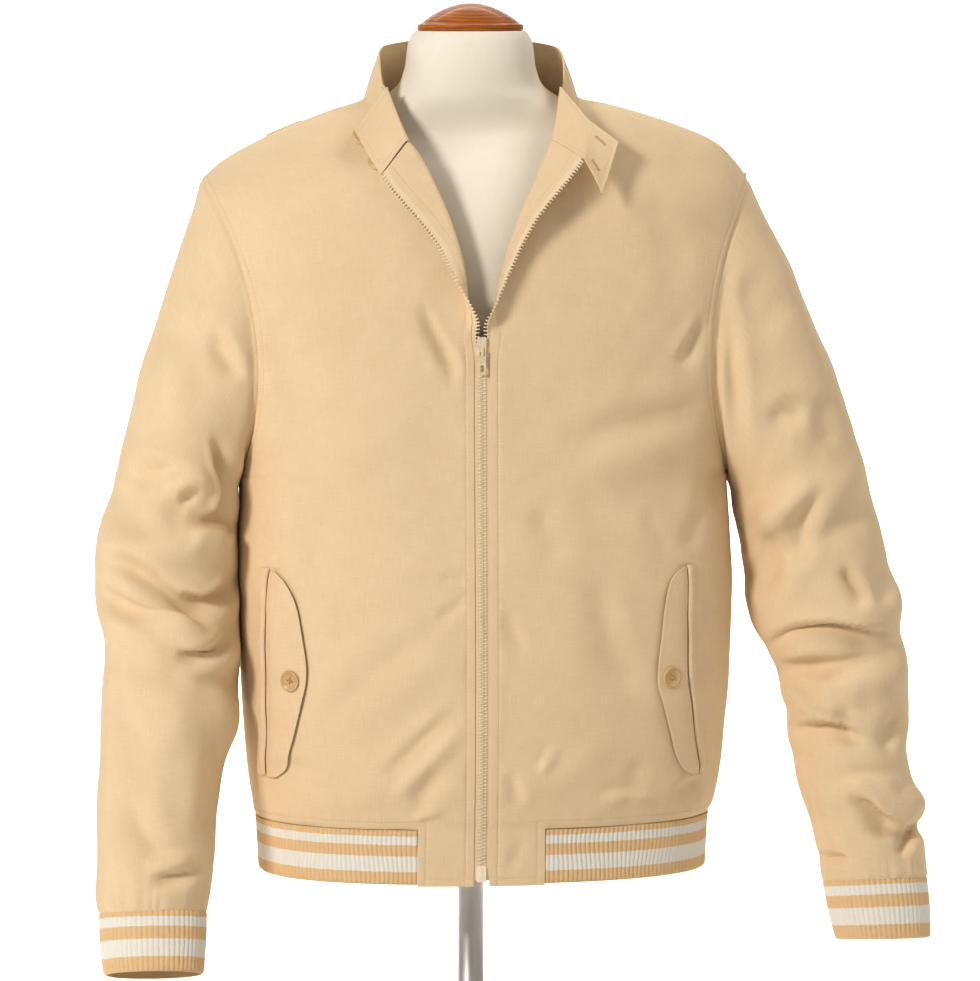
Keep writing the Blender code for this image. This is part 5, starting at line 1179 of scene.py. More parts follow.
def collar_half(side):
    """Half the collar as columns from its free end to the middle of the back."""
    corner = len(LOW_ROWS) + len(ROLL[side]) - 1
    row = ROLL[side][-1]
    rows = np.arange(corner, corner + 4).astype(float)
    front = panel(side, "front", rows, np.zeros((4, 1)))[:, 0]
    split = len(BACK_LOW_ROWS) + len(BACK_ROWS) - 1
    rows = np.arange(split + 4, split - 1, -1).astype(float)
    back = panel(side, "back", rows, np.zeros((5, 1)))[:, 0]
    seam = np.vstack([front, back])
    root = seam[0]
    inwards, outwards = roll_frame(side, np.array([row.x]), np.array([row.z]), np.array([row.slant]))
    turned = COLLAR_TURN[side]
    fold_top = np.array([SIGN[side] * COLLAR_TOP[0].x, COLLAR_TOP[0].y, COLLAR_TOP[0].z])
    lay_top = unit(np.array([turned.lay_x, turned.lay_y, turned.lay_z], float))
    fold_way = unit(fold_top - root)
    out_top = unit(np.cross(fold_way, lay_top))
    out_top *= -1 if out_top[1] > 0 else 1
    share = COLLAR_LEVELS[:, None]
    at = mix(root, fold_top, share) - fold_way * 0.4 * (1 - share)
    inward = unit(mix(inwards[0], -lay_top, share))
    outward = mix(outwards[0], out_top, share)
    outward = unit(outward - inward * np.sum(outward * inward, axis=1, keepdims=True))
    reach = mix(row.reach, turned.reach, share) + EDGE_X - SEAM
    turn = mix(row.turn, turned.turn, share)
    total = ROLL_RADIUS * np.radians(turn) + reach
    places = np.concatenate([np.linspace(0, 9, 12)[:-1], np.linspace(9, 44, 12)])
    places = places[None] * (total / 44)
    columns = hook(at[:, None], inward[:, None], outward[:, None], turn, places)
    if side == "left":
        way = mix(np.array(TAB_LOW, float), np.array(TAB_HIGH, float), share)
        more = np.array([3, 7, 11, 15, 18, 20, 21.5, 23, 24]) / 24
        columns = np.concatenate([columns, columns[:, -1:] + way[:, None] * more[None, :, None]], axis=1)
    columns = columns[:, 1:][:, ::-1]
    seam = smooth_path(seam, 8)
    place = np.linspace(0, 8, len(seam))
    high = point(SIGN[side] * read(COLLAR_TOP, "place", "x", place), read(COLLAR_TOP, "place", "y", place),
                 read(COLLAR_TOP, "place", "z", place))
    start = seam - unit(high - seam) * TUCK
    stand = mix(start[None], high[None], COLLAR_LEVELS[:, None, None])
    return np.concatenate([columns, stand], axis=1)


def make_collar(look):
    right, left = collar_half("right"), collar_half("left")
    grid = np.concatenate([right, left[:, -2::-1]], axis=1)
    along = run_lengths(grid[9])[None]
    level = COLLAR_LEVELS[:, None]
    tall = np.linalg.norm(grid[-1] - grid[0], axis=-1)[None]
    total = along[0, -1]
    inside = np.minimum(along, total - along)
    push = 0.9 * np.sin(np.pi * level) * smooth_step(inside / 30)
    push = push + 0.45 * ripple(along, level * 45, 60, 51) * smooth_step(inside / 15)
    edge = (1 - level) * tall
    rim = np.minimum(np.minimum(edge, inside), 99)
    lines = bell(rim - COLLAR_STITCH, 0.9) + bell(level * tall - COLLAR_LOW_STITCH, 0.9)
    groove = 0.4 * np.clip(lines, 0, 1)
    push = push + 0.3 * bell(rim - 2.5, 2.5)
    cut = flat_places(along, level * 45)
    shell = cloth_shell("cloth_collar", grid, cut, look, push=push, groove=groove, thick=COLLAR_SHELL,
                        flip=True, replaces=["collar"])
    for surface, way in ((shell.outer, 1), (shell.inner, -1)):
        sew_collar(surface, shell.normals * way, along, level, tall)
    return shell, along[0]


def sew_collar(surface, normals, along, level, tall):
    """Stitches round a collar face: along its top edge, both ends and its neck seam."""
    group = "stitches_collar"
    total = along[0, -1]
    use = (along[0] > COLLAR_STITCH) & (along[0] < total - COLLAR_STITCH)
    turned_surface, turned_normals = surface.transpose(1, 0, 2)[use], normals.transpose(1, 0, 2)[use]
    heights = (level * tall).T[use]
    for wanted in (tall[0][use] - COLLAR_STITCH, COLLAR_LOW_STITCH):
        stitch_at(group, turned_surface, turned_normals, heights, wanted)
    rows = slice(4, 14)
    runs = np.broadcast_to(along, surface.shape[:2])
    for wanted in (COLLAR_STITCH, total - COLLAR_STITCH):
        stitch_at(group, surface[rows], normals[rows], runs[rows], wanted)


# ---------------------------------------------------------------- zip
def zip_frames(side, shell, edge_rows):
    """Run of the zip along a front: middle of the cloth's edge, away from it, and outwards."""
    rows = slice(0, edge_rows)
    edge = (shell.outer[rows, 0] + shell.inner[rows, 0]) / 2
    before = (shell.outer[rows, 3] + shell.inner[rows, 3]) / 2
    away = unit(edge - before)
    run = unit(np.gradient(edge, axis=0))
    out = unit(np.cross(away, run)) * (1 if side == "right" else -1)
    return edge, away, out


FIRST_TOOTH = 16.5     # along the edge from the box
TOOTH_FROM = 3.75      # beyond the cloth's edge
TOOTH_MIDDLE = 5.6
TOOTH = ((0.0, 0.62), (1.7, 0.62), (2.2, 0.36), (2.75, 0.36), (3.1, 0.6), (3.75, 0.5), (4.05, 0.2))


def make_zip(side, shell, edge_rows, tape_look, tooth_look):
    """Woven tape and separate moulded teeth along the edge of a front."""
    edge, away, out = zip_frames(side, shell, edge_rows)
    z = edge[:, 2]
    first = int(np.argmax(z > BOX_LOW_Z + 1))
    edge, away, out = edge[first:], away[first:], out[first:]
    shut = smooth_step((SLIDER_LOW_Z - edge[:, 2]) / 4)[:, None]
    places = np.array([-0.9, -0.2, 0.8, 1.9, 3.0, 3.8, 4.5])
    places = places[None] + shut * np.array([0, 0, 0, 0, 0.3, 1.6, 2.6])[None]
    rise = np.array([0, 0, 0.05, 0.1, 0.1, 0.3, 0.3])[None] - 0.5 * shut
    tape = edge[:, None] + away[:, None] * places[..., None] + out[:, None] * rise[..., None]
    lengths = run_lengths(edge)
    cut = flat_places(places, lengths[:, None])
    made = cloth_shell(f"zip_tape_{side}", tape, cut, tape_look, slot="zip_tape", thick=0.7,
                       flip=side == "left", replaces=[f"zip_{side}"])
    stitch(f"stitches_tape_{side}", made.outer[:, 4], made.normals[:, 4], pitch=1.9, long=1.6, wide=0.5)
    start = FIRST_TOOTH + (0.0 if side == "right" else TOOTH_PITCH / 2)
    at = np.arange(start, lengths[-1] - 2.5, TOOTH_PITCH)
    middle = at_lengths(at, lengths, edge)
    way, up = unit(at_lengths(at, lengths, away)), unit(at_lengths(at, lengths, out))
    points, faces = make_teeth(side, middle, way, up)
    new_object(f"zip_teeth_{side}", points, faces, tooth_look, "zip_tape", sharp=40)


def make_teeth(side, middle, way, up):
    """Points and faces of a row of teeth, each at a middle, reaching one way, with its own up."""
    run = unit(np.cross(up, way))
    outline = [(TOOTH_FROM + a, b) for a, b in TOOTH] + [(TOOTH_FROM + a, -b) for a, b in reversed(TOOTH)]
    count = len(outline)
    layers = ((-1.05, 0.8), (-0.8, 1.0), (0.8, 1.0), (1.1, 0.78))
    rings = []
    for height, size in layers:
        for a, b in outline:
            a = TOOTH_MIDDLE + (a - TOOTH_MIDDLE) * (0.5 + size / 2)
            rings.append(middle + way * a + run * b * size + up * height)
    points = np.stack(rings, axis=1).reshape(-1, 3)
    cell = []
    for layer in range(len(layers) - 1):
        base = layer * count
        cell += [(base + k, base + (k + 1) % count, base + count + (k + 1) % count, base + count + k)
                 for k in range(count)]
    for base, turn in ((0, -1), ((len(layers) - 1) * count, 1)):
        cell += [(base + k, base + k + 1, base + count - 2 - k, base + count - 1 - k)[::turn]
                 for k in range(count // 2 - 1)]
    step = count * len(layers)
    faces = (np.array(cell)[None] + step * np.arange(len(middle))[:, None, None]).reshape(-1, 4)
    return points, faces[:, ::-1] if side == "left" else faces


def prism(outline, low_y, high_y):
    """Points and faces of a straight plate whose outline is seen from the front."""
    points = [(x, y, z) for y in (low_y, high_y) for x, z in outline]
    count = len(outline)
    faces = [tuple(range(count)), tuple(range(2 * count - 1, count - 1, -1))]
    faces += [(k, count + k, count + (k + 1) % count, (k + 1) % count) for k in range(count)]
    return points, faces


def cut_out(made, cutter):
    """Take a cutter's shape out of an object, and remove the cutter."""
    opening = made.modifiers.new("hole", "BOOLEAN")
    opening.object = cutter
    bpy.context.view_layer.update()
    bpy.context.view_layer.objects.active = made
    bpy.ops.object.modifier_apply(modifier="hole")
    bpy.data.objects.remove(cutter, do_unlink=True)


def round_edges(made, wide, segments):
    edges = made.modifiers.new("edges", "BEVEL")
    edges.width = wide * MM
    edges.segments = segments
    edges.limit_method = "ANGLE"


def rounded_plate(name, outline, low_y, high_y, look, slot, body="jacket", bevel=0.45, replaces=(),
                  holes=()):
    """A plate with rounded edges, cut to an outline seen from the front."""
    made = new_object(name, *prism(outline, low_y, high_y), look, slot, body=body, replaces=replaces,
                      sharp=50)
    for hole in holes:
        points, faces = prism(hole, low_y - 3, high_y + 3)
        mesh = bpy.data.meshes.new("cutter")
        mesh.from_pydata(((np.array(points, float) + (0, 0, DATUM)) * MM).tolist(), [], faces)
        cut_out(made, linked("cutter", mesh))
    round_edges(made, bevel, 3)


def rounded_box(x0, z0, x1, z1, radius, steps=4):
    """Outline of a rectangle with round corners, as seen from the front."""
    made = []
    for cx, cz, start in ((x1 - radius, z0 + radius, -90), (x1 - radius, z1 - radius, 0),
                          (x0 + radius, z1 - radius, 90), (x0 + radius, z0 + radius, 180)):
        for k in range(steps + 1):
            a = math.radians(start + 90 * k / steps)
            made.append((cx + radius * math.cos(a), cz + radius * math.sin(a)))
    return made


# Slider plate as shares of its half width and height; bridge from its pin up and off the plate.
SHIELD = ((-0.62, 0), (0.62, 0), (0.86, 0.1), (0.9, 0.45), (1.0, 0.62), (1.0, 0.86), (0.86, 0.97),
          (0.45, 1.0), (0, 0.93), (-0.45, 1.0), (-0.86, 0.97), (-1.0, 0.86), (-1.0, 0.62), (-0.9, 0.45),
          (-0.86, 0.1))
BRIDGE_OUTSIDE = ((-4.6, 0.9), (-4.6, 3.6), (-3.6, 4.9), (-2.0, 5.5), (-0.4, 5.5), (1.2, 4.7), (2.9, 3.2),
                  (2.9, 0.9))
BRIDGE_HOLLOW = ((2.0, 0.9), (1.6, 2.8), (0.8, 3.6), (-0.4, 4.3), (-2.0, 4.3), (-3.0, 3.6), (-3.4, 2.7),
                 (-3.4, 0.9))


def zip_plane():
    """Depth of the middle of the closed zip at the slider and at the box."""
    return {name: float(body_y(STITCH_X, (low + high) / 2, "left", "front")) + CLOTH / 2
            for name, low, high in (("slider", SLIDER_LOW_Z, SLIDER_TOP_Z), ("box", BOX_LOW_Z, BOX_TOP_Z))}


def make_slider(look):
    """Shield-shaped front and rear plates, their side flanges, the post and the bridge."""
    middle = zip_plane()["slider"]
    half_wide, half_gap, plate = 4.3, 1.85, 1.6
    low, high = SLIDER_LOW_Z, SLIDER_TOP_Z
    outline = [(ZIP_X + x * half_wide, mix(low, high, t)) for x, t in SHIELD]
    front, rear = middle - half_gap, middle + half_gap
    rounded_plate("slider_front", outline, front - plate, front, look, "zip_metal", replaces=["slider"])
    rounded_plate("slider_rear", outline, rear, rear + plate, look, "zip_metal")
    for name, sign in (("slider_flange_right", -1), ("slider_flange_left", 1)):
        x0, x1 = sorted((ZIP_X + sign * half_wide * 0.99, ZIP_X + sign * half_wide * 0.8))
        rounded_plate(name, rounded_box(x0, low + 2, x1, low + 9.5, 0.3), front - 0.4, front + 1.0, look,
                      "zip_metal", bevel=0.2)
    rounded_plate("slider_post", rounded_box(ZIP_X - 0.7, high - 2.6, ZIP_X + 0.7, high - 0.6, 0.3),
                  front - 0.5, rear + 0.5, look, "zip_metal", bevel=0.1)
    make_bridge(front, look)
    return front


def make_bridge(plate_y, look):
    """The arch over the slider's front that the tab hangs on."""
    bar = 1.2
    ring = [(TAB_PIN_Z + dz, plate_y - dy) for dz, dy in BRIDGE_OUTSIDE + BRIDGE_HOLLOW]
    points = [(ZIP_X + x, y, z) for x in (-bar, bar) for z, y in ring]
    count = len(ring)
    faces = [(k, (k + 1) % count, count + (k + 1) % count, count + k) for k in range(count)]
    for base, turn in ((0, 1), (count, -1)):
        for k in range(len(BRIDGE_OUTSIDE) - 1):
            face = (base + k, base + count - 1 - k, base + count - 2 - k, base + k + 1)
            faces.append(face[::turn])
    round_edges(new_object("slider_bridge", points, faces, look, "zip_metal", sharp=50), 0.3, 2)


def make_pull_tab(plate_y, look):
    """A long flat tab with a rounded foot, an eye round the bridge and a window."""
    pin_y, pin_z = plate_y - 3.0, TAB_PIN_Z + 0.65
    wide, thick = 3.6, 0.6
    outline = rounded_box(ZIP_X - wide, TAB_LOW_Z, ZIP_X + wide, pin_z + thick, 1.1)
    eye = rounded_box(ZIP_X - 1.9, TAB_PIN_Z - 4.2, ZIP_X + 1.9, TAB_PIN_Z + 0.1, 0.5)
    window = rounded_box(ZIP_X - 1.8, TAB_LOW_Z + 2.5, ZIP_X + 1.8, TAB_LOW_Z + 8.5, 0.8)
    rounded_plate("tab", outline, pin_y - thick, pin_y + thick, look, "zip_metal", body="pull_tab",
                  bevel=0.25, replaces=["pull_tab"], holes=(eye, window))
    for name, z in (("tab_ridge_low", TAB_LOW_Z + 10.6), ("tab_ridge_high", TAB_LOW_Z + 12.6)):
        rounded_plate(name, rounded_box(ZIP_X - 2.6, z, ZIP_X + 2.6, z + 0.9, 0.4), pin_y - thick - 0.3,
                      pin_y - thick + 0.2, look, "zip_metal", body="pull_tab", bevel=0.12)


def make_zip_box(look):
    middle = zip_plane()["box"]
    outline = rounded_box(ZIP_X - 4.4, BOX_LOW_Z, ZIP_X + 4.4, BOX_TOP_Z - SEAM, 1.3)
    rounded_plate("box_shell", outline, middle - 2.0, middle + 1.6, look, "zip_tape", bevel=0.6,
                  replaces=["zip_box"])
    rounded_plate("box_slot", rounded_box(ZIP_X - 0.45, BOX_LOW_Z + 2, ZIP_X + 0.45, BOX_TOP_Z - 1.5, 0.3),
                  middle - 2.25, middle - 1.7, look, "zip_tape", bevel=0.15)


# ---------------------------------------------------------------- pocket flaps and buttons
def folded_y(side, x, z):
    """Depth of a front with its large folds, at a place seen from the front."""
    return body_y(x, z, side, "front") - fold_push(BODY_FOLDS["front"], SIGN[side] * x, z)


def flap_out(side, x, z):
    """Outward direction of a front, level with the floor."""
    slope = (body_y(x + 3, z, side, "front") - body_y(x - 3, z, side, "front")) / 6
    return unit(point(SIGN[side] * slope, -1.0, 0.0))


def make_flap(side, look):
    table = FLAP[side]
    low, high = table[0].z, table[-1].z
    t = np.linspace(0, 1, 84)
    z = mix(low, high, 0.5 - 0.5 * np.cos(np.pi * t))[:, None]
    hinge, edge = read(table, "z", "hinge_x", z), read(table, "z", "edge_x", z)
    inset = np.array([0, 0.6, 1.4, 2.4, 3.6, 5.0])
    part = np.concatenate([inset, np.linspace(6, 27.5, 9), 33.5 - inset[::-1]]) / 33.5
    x = mix(hinge, edge, part[None])
    grid = point(SIGN[side] * x, folded_y(side, x, z), z) + flap_out(side, x, z) * (FLAP_LIFT + 1.8)
    from_hinge = np.abs(x - hinge)
    from_edge = np.abs(x - edge)
    ends = np.minimum(z - low, high - z)
    push = 0.9 * smooth_step(from_hinge / 12) * smooth_step(ends / 20) + 0.3 * ripple(x, z, 40, 61)
    push += front_swell(SIGN[side] * x, z) - 1.6 * bell(from_hinge, 2.2)
    push += 0.35 * bell(from_edge - 1.5, 1.4)
    groove = 0.3 * bell(from_hinge - 3.5, 0.8)
    cut = flat_places(SIGN[side] * x, z)
    shell = cloth_shell(f"cloth_flap_{side}", grid, cut, look, push=push, groove=groove, thick=FLAP_SHELL,
                        flip=side == "left", replaces=[f"pocket_flap_{side}"])
    group = f"stitches_flap_{side}"
    line = np.argmin(np.abs(from_hinge - 3.0), axis=1)
    rows = np.arange(3, 81)
    stitch(group, shell.outer[rows, line[rows]], shell.normals[rows, line[rows]])
    welt_z = np.linspace(low - 1, high + 3, 70)
    welt_x = read(table, "z", "hinge_x", welt_z) + 6.4
    on_front(group, side, welt_x, welt_z)
    make_welt(side, look)
    for end_z in (low - 1.5, high + 2.0):
        for step in (0, 1.3):
            mid = float(read(table, "z", "hinge_x", end_z))
            on_front(group, side, np.linspace(mid - 9, mid + 5, 12), np.full(12, end_z + step), pitch=1.5)


def make_welt(side, look):
    """The narrow rolled edge of the pocket's opening, just outside the flap's seam."""
    table = FLAP[side]
    z = np.linspace(table[0].z + 1, table[-1].z + 2, 64)[:, None]
    part = np.array([1.4, 1.6, 2.2, 3.0, 3.8, 4.6, 5.4, 6.2, 7.0])
    wave = 0.5 * np.sin(z / 23.0) + 0.3 * np.sin(z / 9.0)
    x = read(table, "z", "hinge_x", z) + part[None] + wave
    out = flap_out(side, x, z)
    high = np.array([0.9, 1.7, 2.3, 2.4, 2.2, 1.9, 1.7, 1.5, 1.1])
    rise = SEAM / 2 + high[None] * smooth_step(np.minimum(z - z[0], z[-1] - z) / 5 + 0.3)
    rise = rise + front_swell(SIGN[side] * x, z)
    cut = flat_places(SIGN[side] * x, z)
    grid = point(SIGN[side] * x, folded_y(side, x, z), z) + out * rise[..., None]
    shell = cloth_shell(f"cloth_welt_{side}", grid, cut, look, thick=0.9, flip=side == "left")


def front_swell(x, z):
    """The finer creases and swell of a front, which what is sewn on it follows."""
    return (crease_push(BODY_CREASES["front"], x, z) + 0.7 * ripple(x, z, 110, 3)
            + 0.25 * ripple(x, z, 34, 4))


def on_front(group, side, x, z, pitch=STITCH_PITCH):
    """Stitches on the front panel's surface at places seen from the front."""
    out = flap_out(side, x, z)
    fine = front_swell(SIGN[side] * x, z)
    path = point(SIGN[side] * x, folded_y(side, x, z) - SEAM / 2, z) + out * (fine + 0.1)[:, None]
    stitch(group, path, out, pitch=pitch, long=pitch * 0.75)


def turned(name, profile, steps, look, slot, place=None, replaces=(), body="jacket", sharp=35):
    """A solid turned round its own Z from (radius, height) pairs, first and last on the axis."""
    profile = np.array(profile, float)
    angle = np.arange(steps) * 2 * math.pi / steps
    rings = [np.stack([r * np.cos(angle), r * np.sin(angle), np.full(steps, h)], axis=1)
             for r, h in profile[1:-1]]
    points = np.vstack([[[0, 0, profile[0][1]]], *rings, [[0, 0, profile[-1][1]]]])
    last = len(points) - 1
    faces = []
    for i in range(steps):
        j = (i + 1) % steps
        faces.append((0, 1 + j, 1 + i))
        for k in range(len(rings) - 1):
            a, b = 1 + k * steps, 1 + (k + 1) * steps
            faces.append((a + i, a + j, b + j, b + i))
        faces.append((last - steps + i, last - steps + j, last))
    if place is not None:
        points = np.array([place @ Vector(p) for p in points])
    return new_object(name, points, faces, look, slot, replaces=replaces, body=body, sharp=sharp)


def make_button(name, node, look, thread):
    """A dished four-hole button with a rounded rim and crossed thread, where its solid lies."""
    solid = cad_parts[node]
    corners = [(solid.matrix_world @ vertex.co)[:] for vertex in solid.data.vertices]
    corners = np.array(corners) / MM - (0, 0, DATUM)
    centre = corners.mean(axis=0)
    out = np.linalg.eigh(np.cov((corners - centre).T))[1][:, 0]
    heights = (corners - centre) @ out
    radius = np.linalg.norm(corners - centre - np.outer(heights, out), axis=1)
    # The solid is dished on its outer side, so the dish's rim tells which way it faces.
    rim_side = heights[np.abs(radius - (BUTTON_RADIUS - 3.2)) < 0.6]
    if len(rim_side) and rim_side.mean() < 0:
        out, heights = -out, -heights
    turn = Vector((0, 0, 1)).rotation_difference(Vector(out)).to_matrix().to_4x4()
    place = Matrix.Translation(centre + out * heights.min()) @ turn
    r, h = BUTTON_RADIUS, BUTTON_HIGH
    profile = [(0, 0), (r - 1.6, 0), (r - 0.7, 0.3), (r - 0.15, 0.9), (r, h * 0.5), (r - 0.15, h - 0.85),
               (r - 0.6, h - 0.3), (r - 1.3, h), (r - 2.0, h - 0.1), (r - 2.7, h - 0.55),
               (r - 3.4, h * 0.64), (r - 4.6, h * 0.58), (2.0, h * 0.52), (0, h * 0.52)]
    made = turned(name, profile, 56, look, "button", place, [node], sharp=60)
    angles = [math.radians(45 + 90 * k) for k in range(4)]
    holes = [np.array(place @ Vector((1.9 * math.cos(a), 1.9 * math.sin(a), h * 0.5))) for a in angles]
    cut_round_holes(made, holes, Vector(out), 0.75)
    for a, b in ((0, 2), (1, 3)):
        path = smooth_path([holes[a] - out * 0.6, holes[a] + out * 0.35,
                            (holes[a] + holes[b]) / 2 + out * 0.75,
                            holes[b] + out * 0.35, holes[b] - out * 0.6], 5)
        thread_run(f"{name}_thread_{a}", path, 0.42, thread)


def cut_round_holes(made, centres, out, radius):
    """Bore round holes through an object, along one direction."""
    for centre in centres:
        bpy.ops.mesh.primitive_cylinder_add(vertices=16, radius=radius * MM, depth=8 * MM,
                                            location=(Vector(centre) + Vector((0, 0, DATUM))) * MM)
        cutter = bpy.context.active_object
        cutter.rotation_euler = Vector((0, 0, 1)).rotation_difference(out).to_euler()
        cut_out(made, cutter)


def thread_run(name, path, radius, look):
    """A round thread along a path."""
    run = unit(np.gradient(path, axis=0))
    helper = np.array([0.3, 0.2, 1.0])
    side = unit(np.cross(run, helper))
    up = np.cross(side, run)
    steps = 8
    angle = np.arange(steps) * 2 * math.pi / steps
    rings = path[:, None] + radius * (side[:, None] * np.cos(angle)[None, :, None]
                                      + up[:, None] * np.sin(angle)[None, :, None])
    points = rings.reshape(-1, 3)
    faces = [(r * steps + k, r * steps + (k + 1) % steps, (r + 1) * steps + (k + 1) % steps,
              (r + 1) * steps + k) for r in range(len(path) - 1) for k in range(steps)]
    faces += [tuple(range(steps))[::-1], tuple(range(len(points) - steps, len(points)))]
    new_object(name, points, faces, look, "twill", sharp=80)


def make_buttonholes(collar, along):
    """Two worked buttonholes across the visible face of the collar's left end."""
    total = along[-1]
    for share in (0.24, 0.78):
        level = int(np.argmin(np.abs(COLLAR_LEVELS - share)))
        use = (along > total - 25) & (along < total - 9)
        middle, out = collar.inner[level][use], -collar.normals[level][use]
        run = unit(np.gradient(middle, axis=0))
        side = unit(np.cross(run, out))
        for shift in (-0.75, 0.75):
            stitch("buttonholes", middle + side * shift, out, pitch=0.9, long=0.75, lift=0.3, wide=1.1)
        for end in (0, -1):
            bar = np.array([middle[end] - side[end] * 1.4, middle[end] + side[end] * 1.4])
            ways = np.array([out[end], out[end]])
            stitch("buttonholes", bar, ways, pitch=0.9, long=0.8, lift=0.3, wide=1.0)
        # A dark strip along each buttonhole's middle: painted shade inside the slot.
        stitch(SLOT_SHADE_GROUP, middle[1:-1], out[1:-1], pitch=0.7, long=1.0, lift=0.36, wide=1.0)


# ---------------------------------------------------------------- dress form and stand
def make_form(look):
    """Smooth limbless torso and neck, closed above and below."""
    z = np.concatenate([[166, 167, 169, 172], np.arange(176, 760, 8.0), np.arange(760, 904, 2.6),
                        [902.8, 904]])[:, None]
    steps = 144
    t = np.arange(steps)[None] * 2 * math.pi / steps
    s, c = np.sin(t), np.cos(t)
    inset = FORM_IN * smooth_step((z - 640) / 60) * smooth_step((870 - z) / 20)
    wide = read(FORM_BODY, "z", "wide", z) - inset
    deep = np.where(c > 0, read(FORM_BODY, "z", "front", z), read(FORM_BODY, "z", "back", z)) - inset
    x = wide * np.sign(s) * np.abs(s) ** (2 / FORM_POWER)
    y = read(FORM_BODY, "z", "middle_y", z) - deep * np.sign(c) * np.abs(c) ** (2 / FORM_POWER)
    tip = read(FORM_BODY, "z", "tip", z)
    grid = point(x, y, z + tip * (1 + x / wide) / 2 - inset)
    rows = len(z)
    points = np.vstack([grid.reshape(-1, 3), grid[0].mean(axis=0), grid[-1].mean(axis=0)])
    bottom, top = len(points) - 2, len(points) - 1
    faces, uv = [], []
    girth = np.arange(steps + 1) * 2 * math.pi / steps * 150 * MM
    for r in range(rows - 1):
        for k in range(steps):
            j = (k + 1) % steps
            faces.append((r * steps + k, r * steps + j, (r + 1) * steps + j, (r + 1) * steps + k))
            u0, u1 = girth[k], girth[k + 1]
            v0, v1 = z[r, 0] * MM, z[r + 1, 0] * MM
            uv += [(u0, v0), (u1, v0), (u1, v1), (u0, v1)]
    for k in range(steps):
        j = (k + 1) % steps
        faces.append((bottom, j, k))
        faces.append((top, (rows - 1) * steps + k, (rows - 1) * steps + j))
        for ring_point in (bottom, j, k, top, (rows - 1) * steps + k, (rows - 1) * steps + j):
            uv.append(tuple(points[ring_point][:2] * MM))
    new_object("form_body", points, faces, look, "form_cloth", uv=uv, replaces=["form_torso"], sharp=50)


def arc_profile(corner_r, corner_z, radius, start, stop, steps=6):
    """Part of a turned profile that follows an arc round (corner_r, corner_z)."""
    angles = np.radians(np.linspace(start, stop, steps))
    return [(corner_r + radius * math.cos(a), corner_z + radius * math.sin(a)) for a in angles]


def make_stand(wood, metal):
    """Round wooden foot, steel pole with its collar, and the turned cap on the neck."""
    floor = -DATUM
    low = floor + BASE_HIGH
    r = BASE_RADIUS
    base = [(0, floor), (r - 3, floor), *arc_profile(r - 3, floor + 3, 3, -90, 0), (r, low - 11)]
    base += arc_profile(r - 8, low - 8, 8, 0, 80)
    base += [(r - 12, low - 0.6), (r - 13, low - 0.9), (r - 14, low - 0.2), (r - 16, low), (60, low),
             (0, low)]
    turned("stand_base", base, 144, wood, "wood", replaces=["base"])
    bottom, top = low + 0.3, FORM_BODY[0].z - 0.3
    r = POLE_RADIUS
    pole = [(0, bottom), (r - 0.5, bottom), (r, bottom + 0.5), (r, bottom + 26), (r - 0.6, bottom + 27),
            (r - 0.6, top - 0.5), (r - 1.1, top), (0, top)]
    turned("stand_pole", pole, 72, metal, "steel", replaces=["pole"])
    neck = FORM_BODY[-1].z + 0.3
    cap = [(0, neck), (46.6, neck)] + arc_profile(47.2, neck + 1.4, 1.4, -90, 0, 5)
    cap += [(48.6, neck + 3.9)] + arc_profile(47.2, neck + 4.2, 1.4, 0, 80, 5)
    cap += [(45.6, neck + 6.2), (44.0, neck + 7.6), (40, neck + 10.7), (34, neck + 14.6), (27, neck + 18.4),
            (20, neck + 21.3), (13, neck + 23.5), (6, neck + 24.7), (2, neck + 25), (0, neck + 25.0)]
    turned("wood_cap", cap, 120, wood, "wood", Matrix.Translation(Vector((0, 2, 0))), ["neck_cap"])


# ---------------------------------------------------------------- materials
class Look:
    """A node material under construction."""

    def __init__(self, name, roughness, metallic=0.0, specular=0.35):
        self.made = bpy.data.materials.new(name)
        self.made.use_nodes = True
        self.tree = self.made.node_tree
        self.shader = self.tree.nodes["Principled BSDF"]
        self.shader.inputs["Roughness"].default_value = roughness
        self.shader.inputs["Metallic"].default_value = metallic
        self.shader.inputs["Specular IOR Level"].default_value = specular

    def node(self, kind, **settings):
        made = self.tree.nodes.new(kind)
        for name, value in settings.items():
            if name in made.inputs:
                made.inputs[name].default_value = value
            else:
                setattr(made, name, value)
        return made

    def link(self, a, b):
        self.tree.links.new(a, b)

    def place(self, scale=(1, 1, 1), uv=True):
        source = self.node("ShaderNodeTexCoord")
        mapping = self.node("ShaderNodeMapping", Scale=scale)
        self.link(source.outputs["UV" if uv else "Object"], mapping.inputs["Vector"])
        return mapping.outputs["Vector"]

    def noise(self, vector, scale, detail=2.0, rough=0.5):
        made = self.node("ShaderNodeTexNoise", Scale=scale, Detail=detail, Roughness=rough)
        self.link(vector, made.inputs["Vector"])
        return made.outputs["Fac"]

    def math(self, kind, a, b):
        made = self.node("ShaderNodeMath", operation=kind)
        for value, socket in ((a, made.inputs[0]), (b, made.inputs[1])):
            if isinstance(value, (int, float)):
                socket.default_value = value
            else:
                self.link(value, socket)
        return made.outputs[0]

    def remap(self, value, low, high, to_low, to_high):
        ends = {"From Min": low, "From Max": high, "To Min": to_low, "To Max": to_high}
        made = self.node("ShaderNodeMapRange", **ends)
        self.link(value, made.inputs["Value"])
        return made.outputs["Result"]

    def base_colour(self, factor, light, dark):
        made = self.node("ShaderNodeMix", data_type="RGBA")
        self.link(factor, made.inputs[0])
        for value, socket in ((light, made.inputs[6]), (dark, made.inputs[7])):
            socket.default_value = (*value, 1.0)
        self.link(made.outputs[2], self.shader.inputs["Base Color"])

    def bump(self, height, strength, distance):
        made = self.node("ShaderNodeBump", Strength=strength, Distance=distance)
        self.link(height, made.inputs["Height"])
        self.link(made.outputs["Normal"], self.shader.inputs["Normal"])


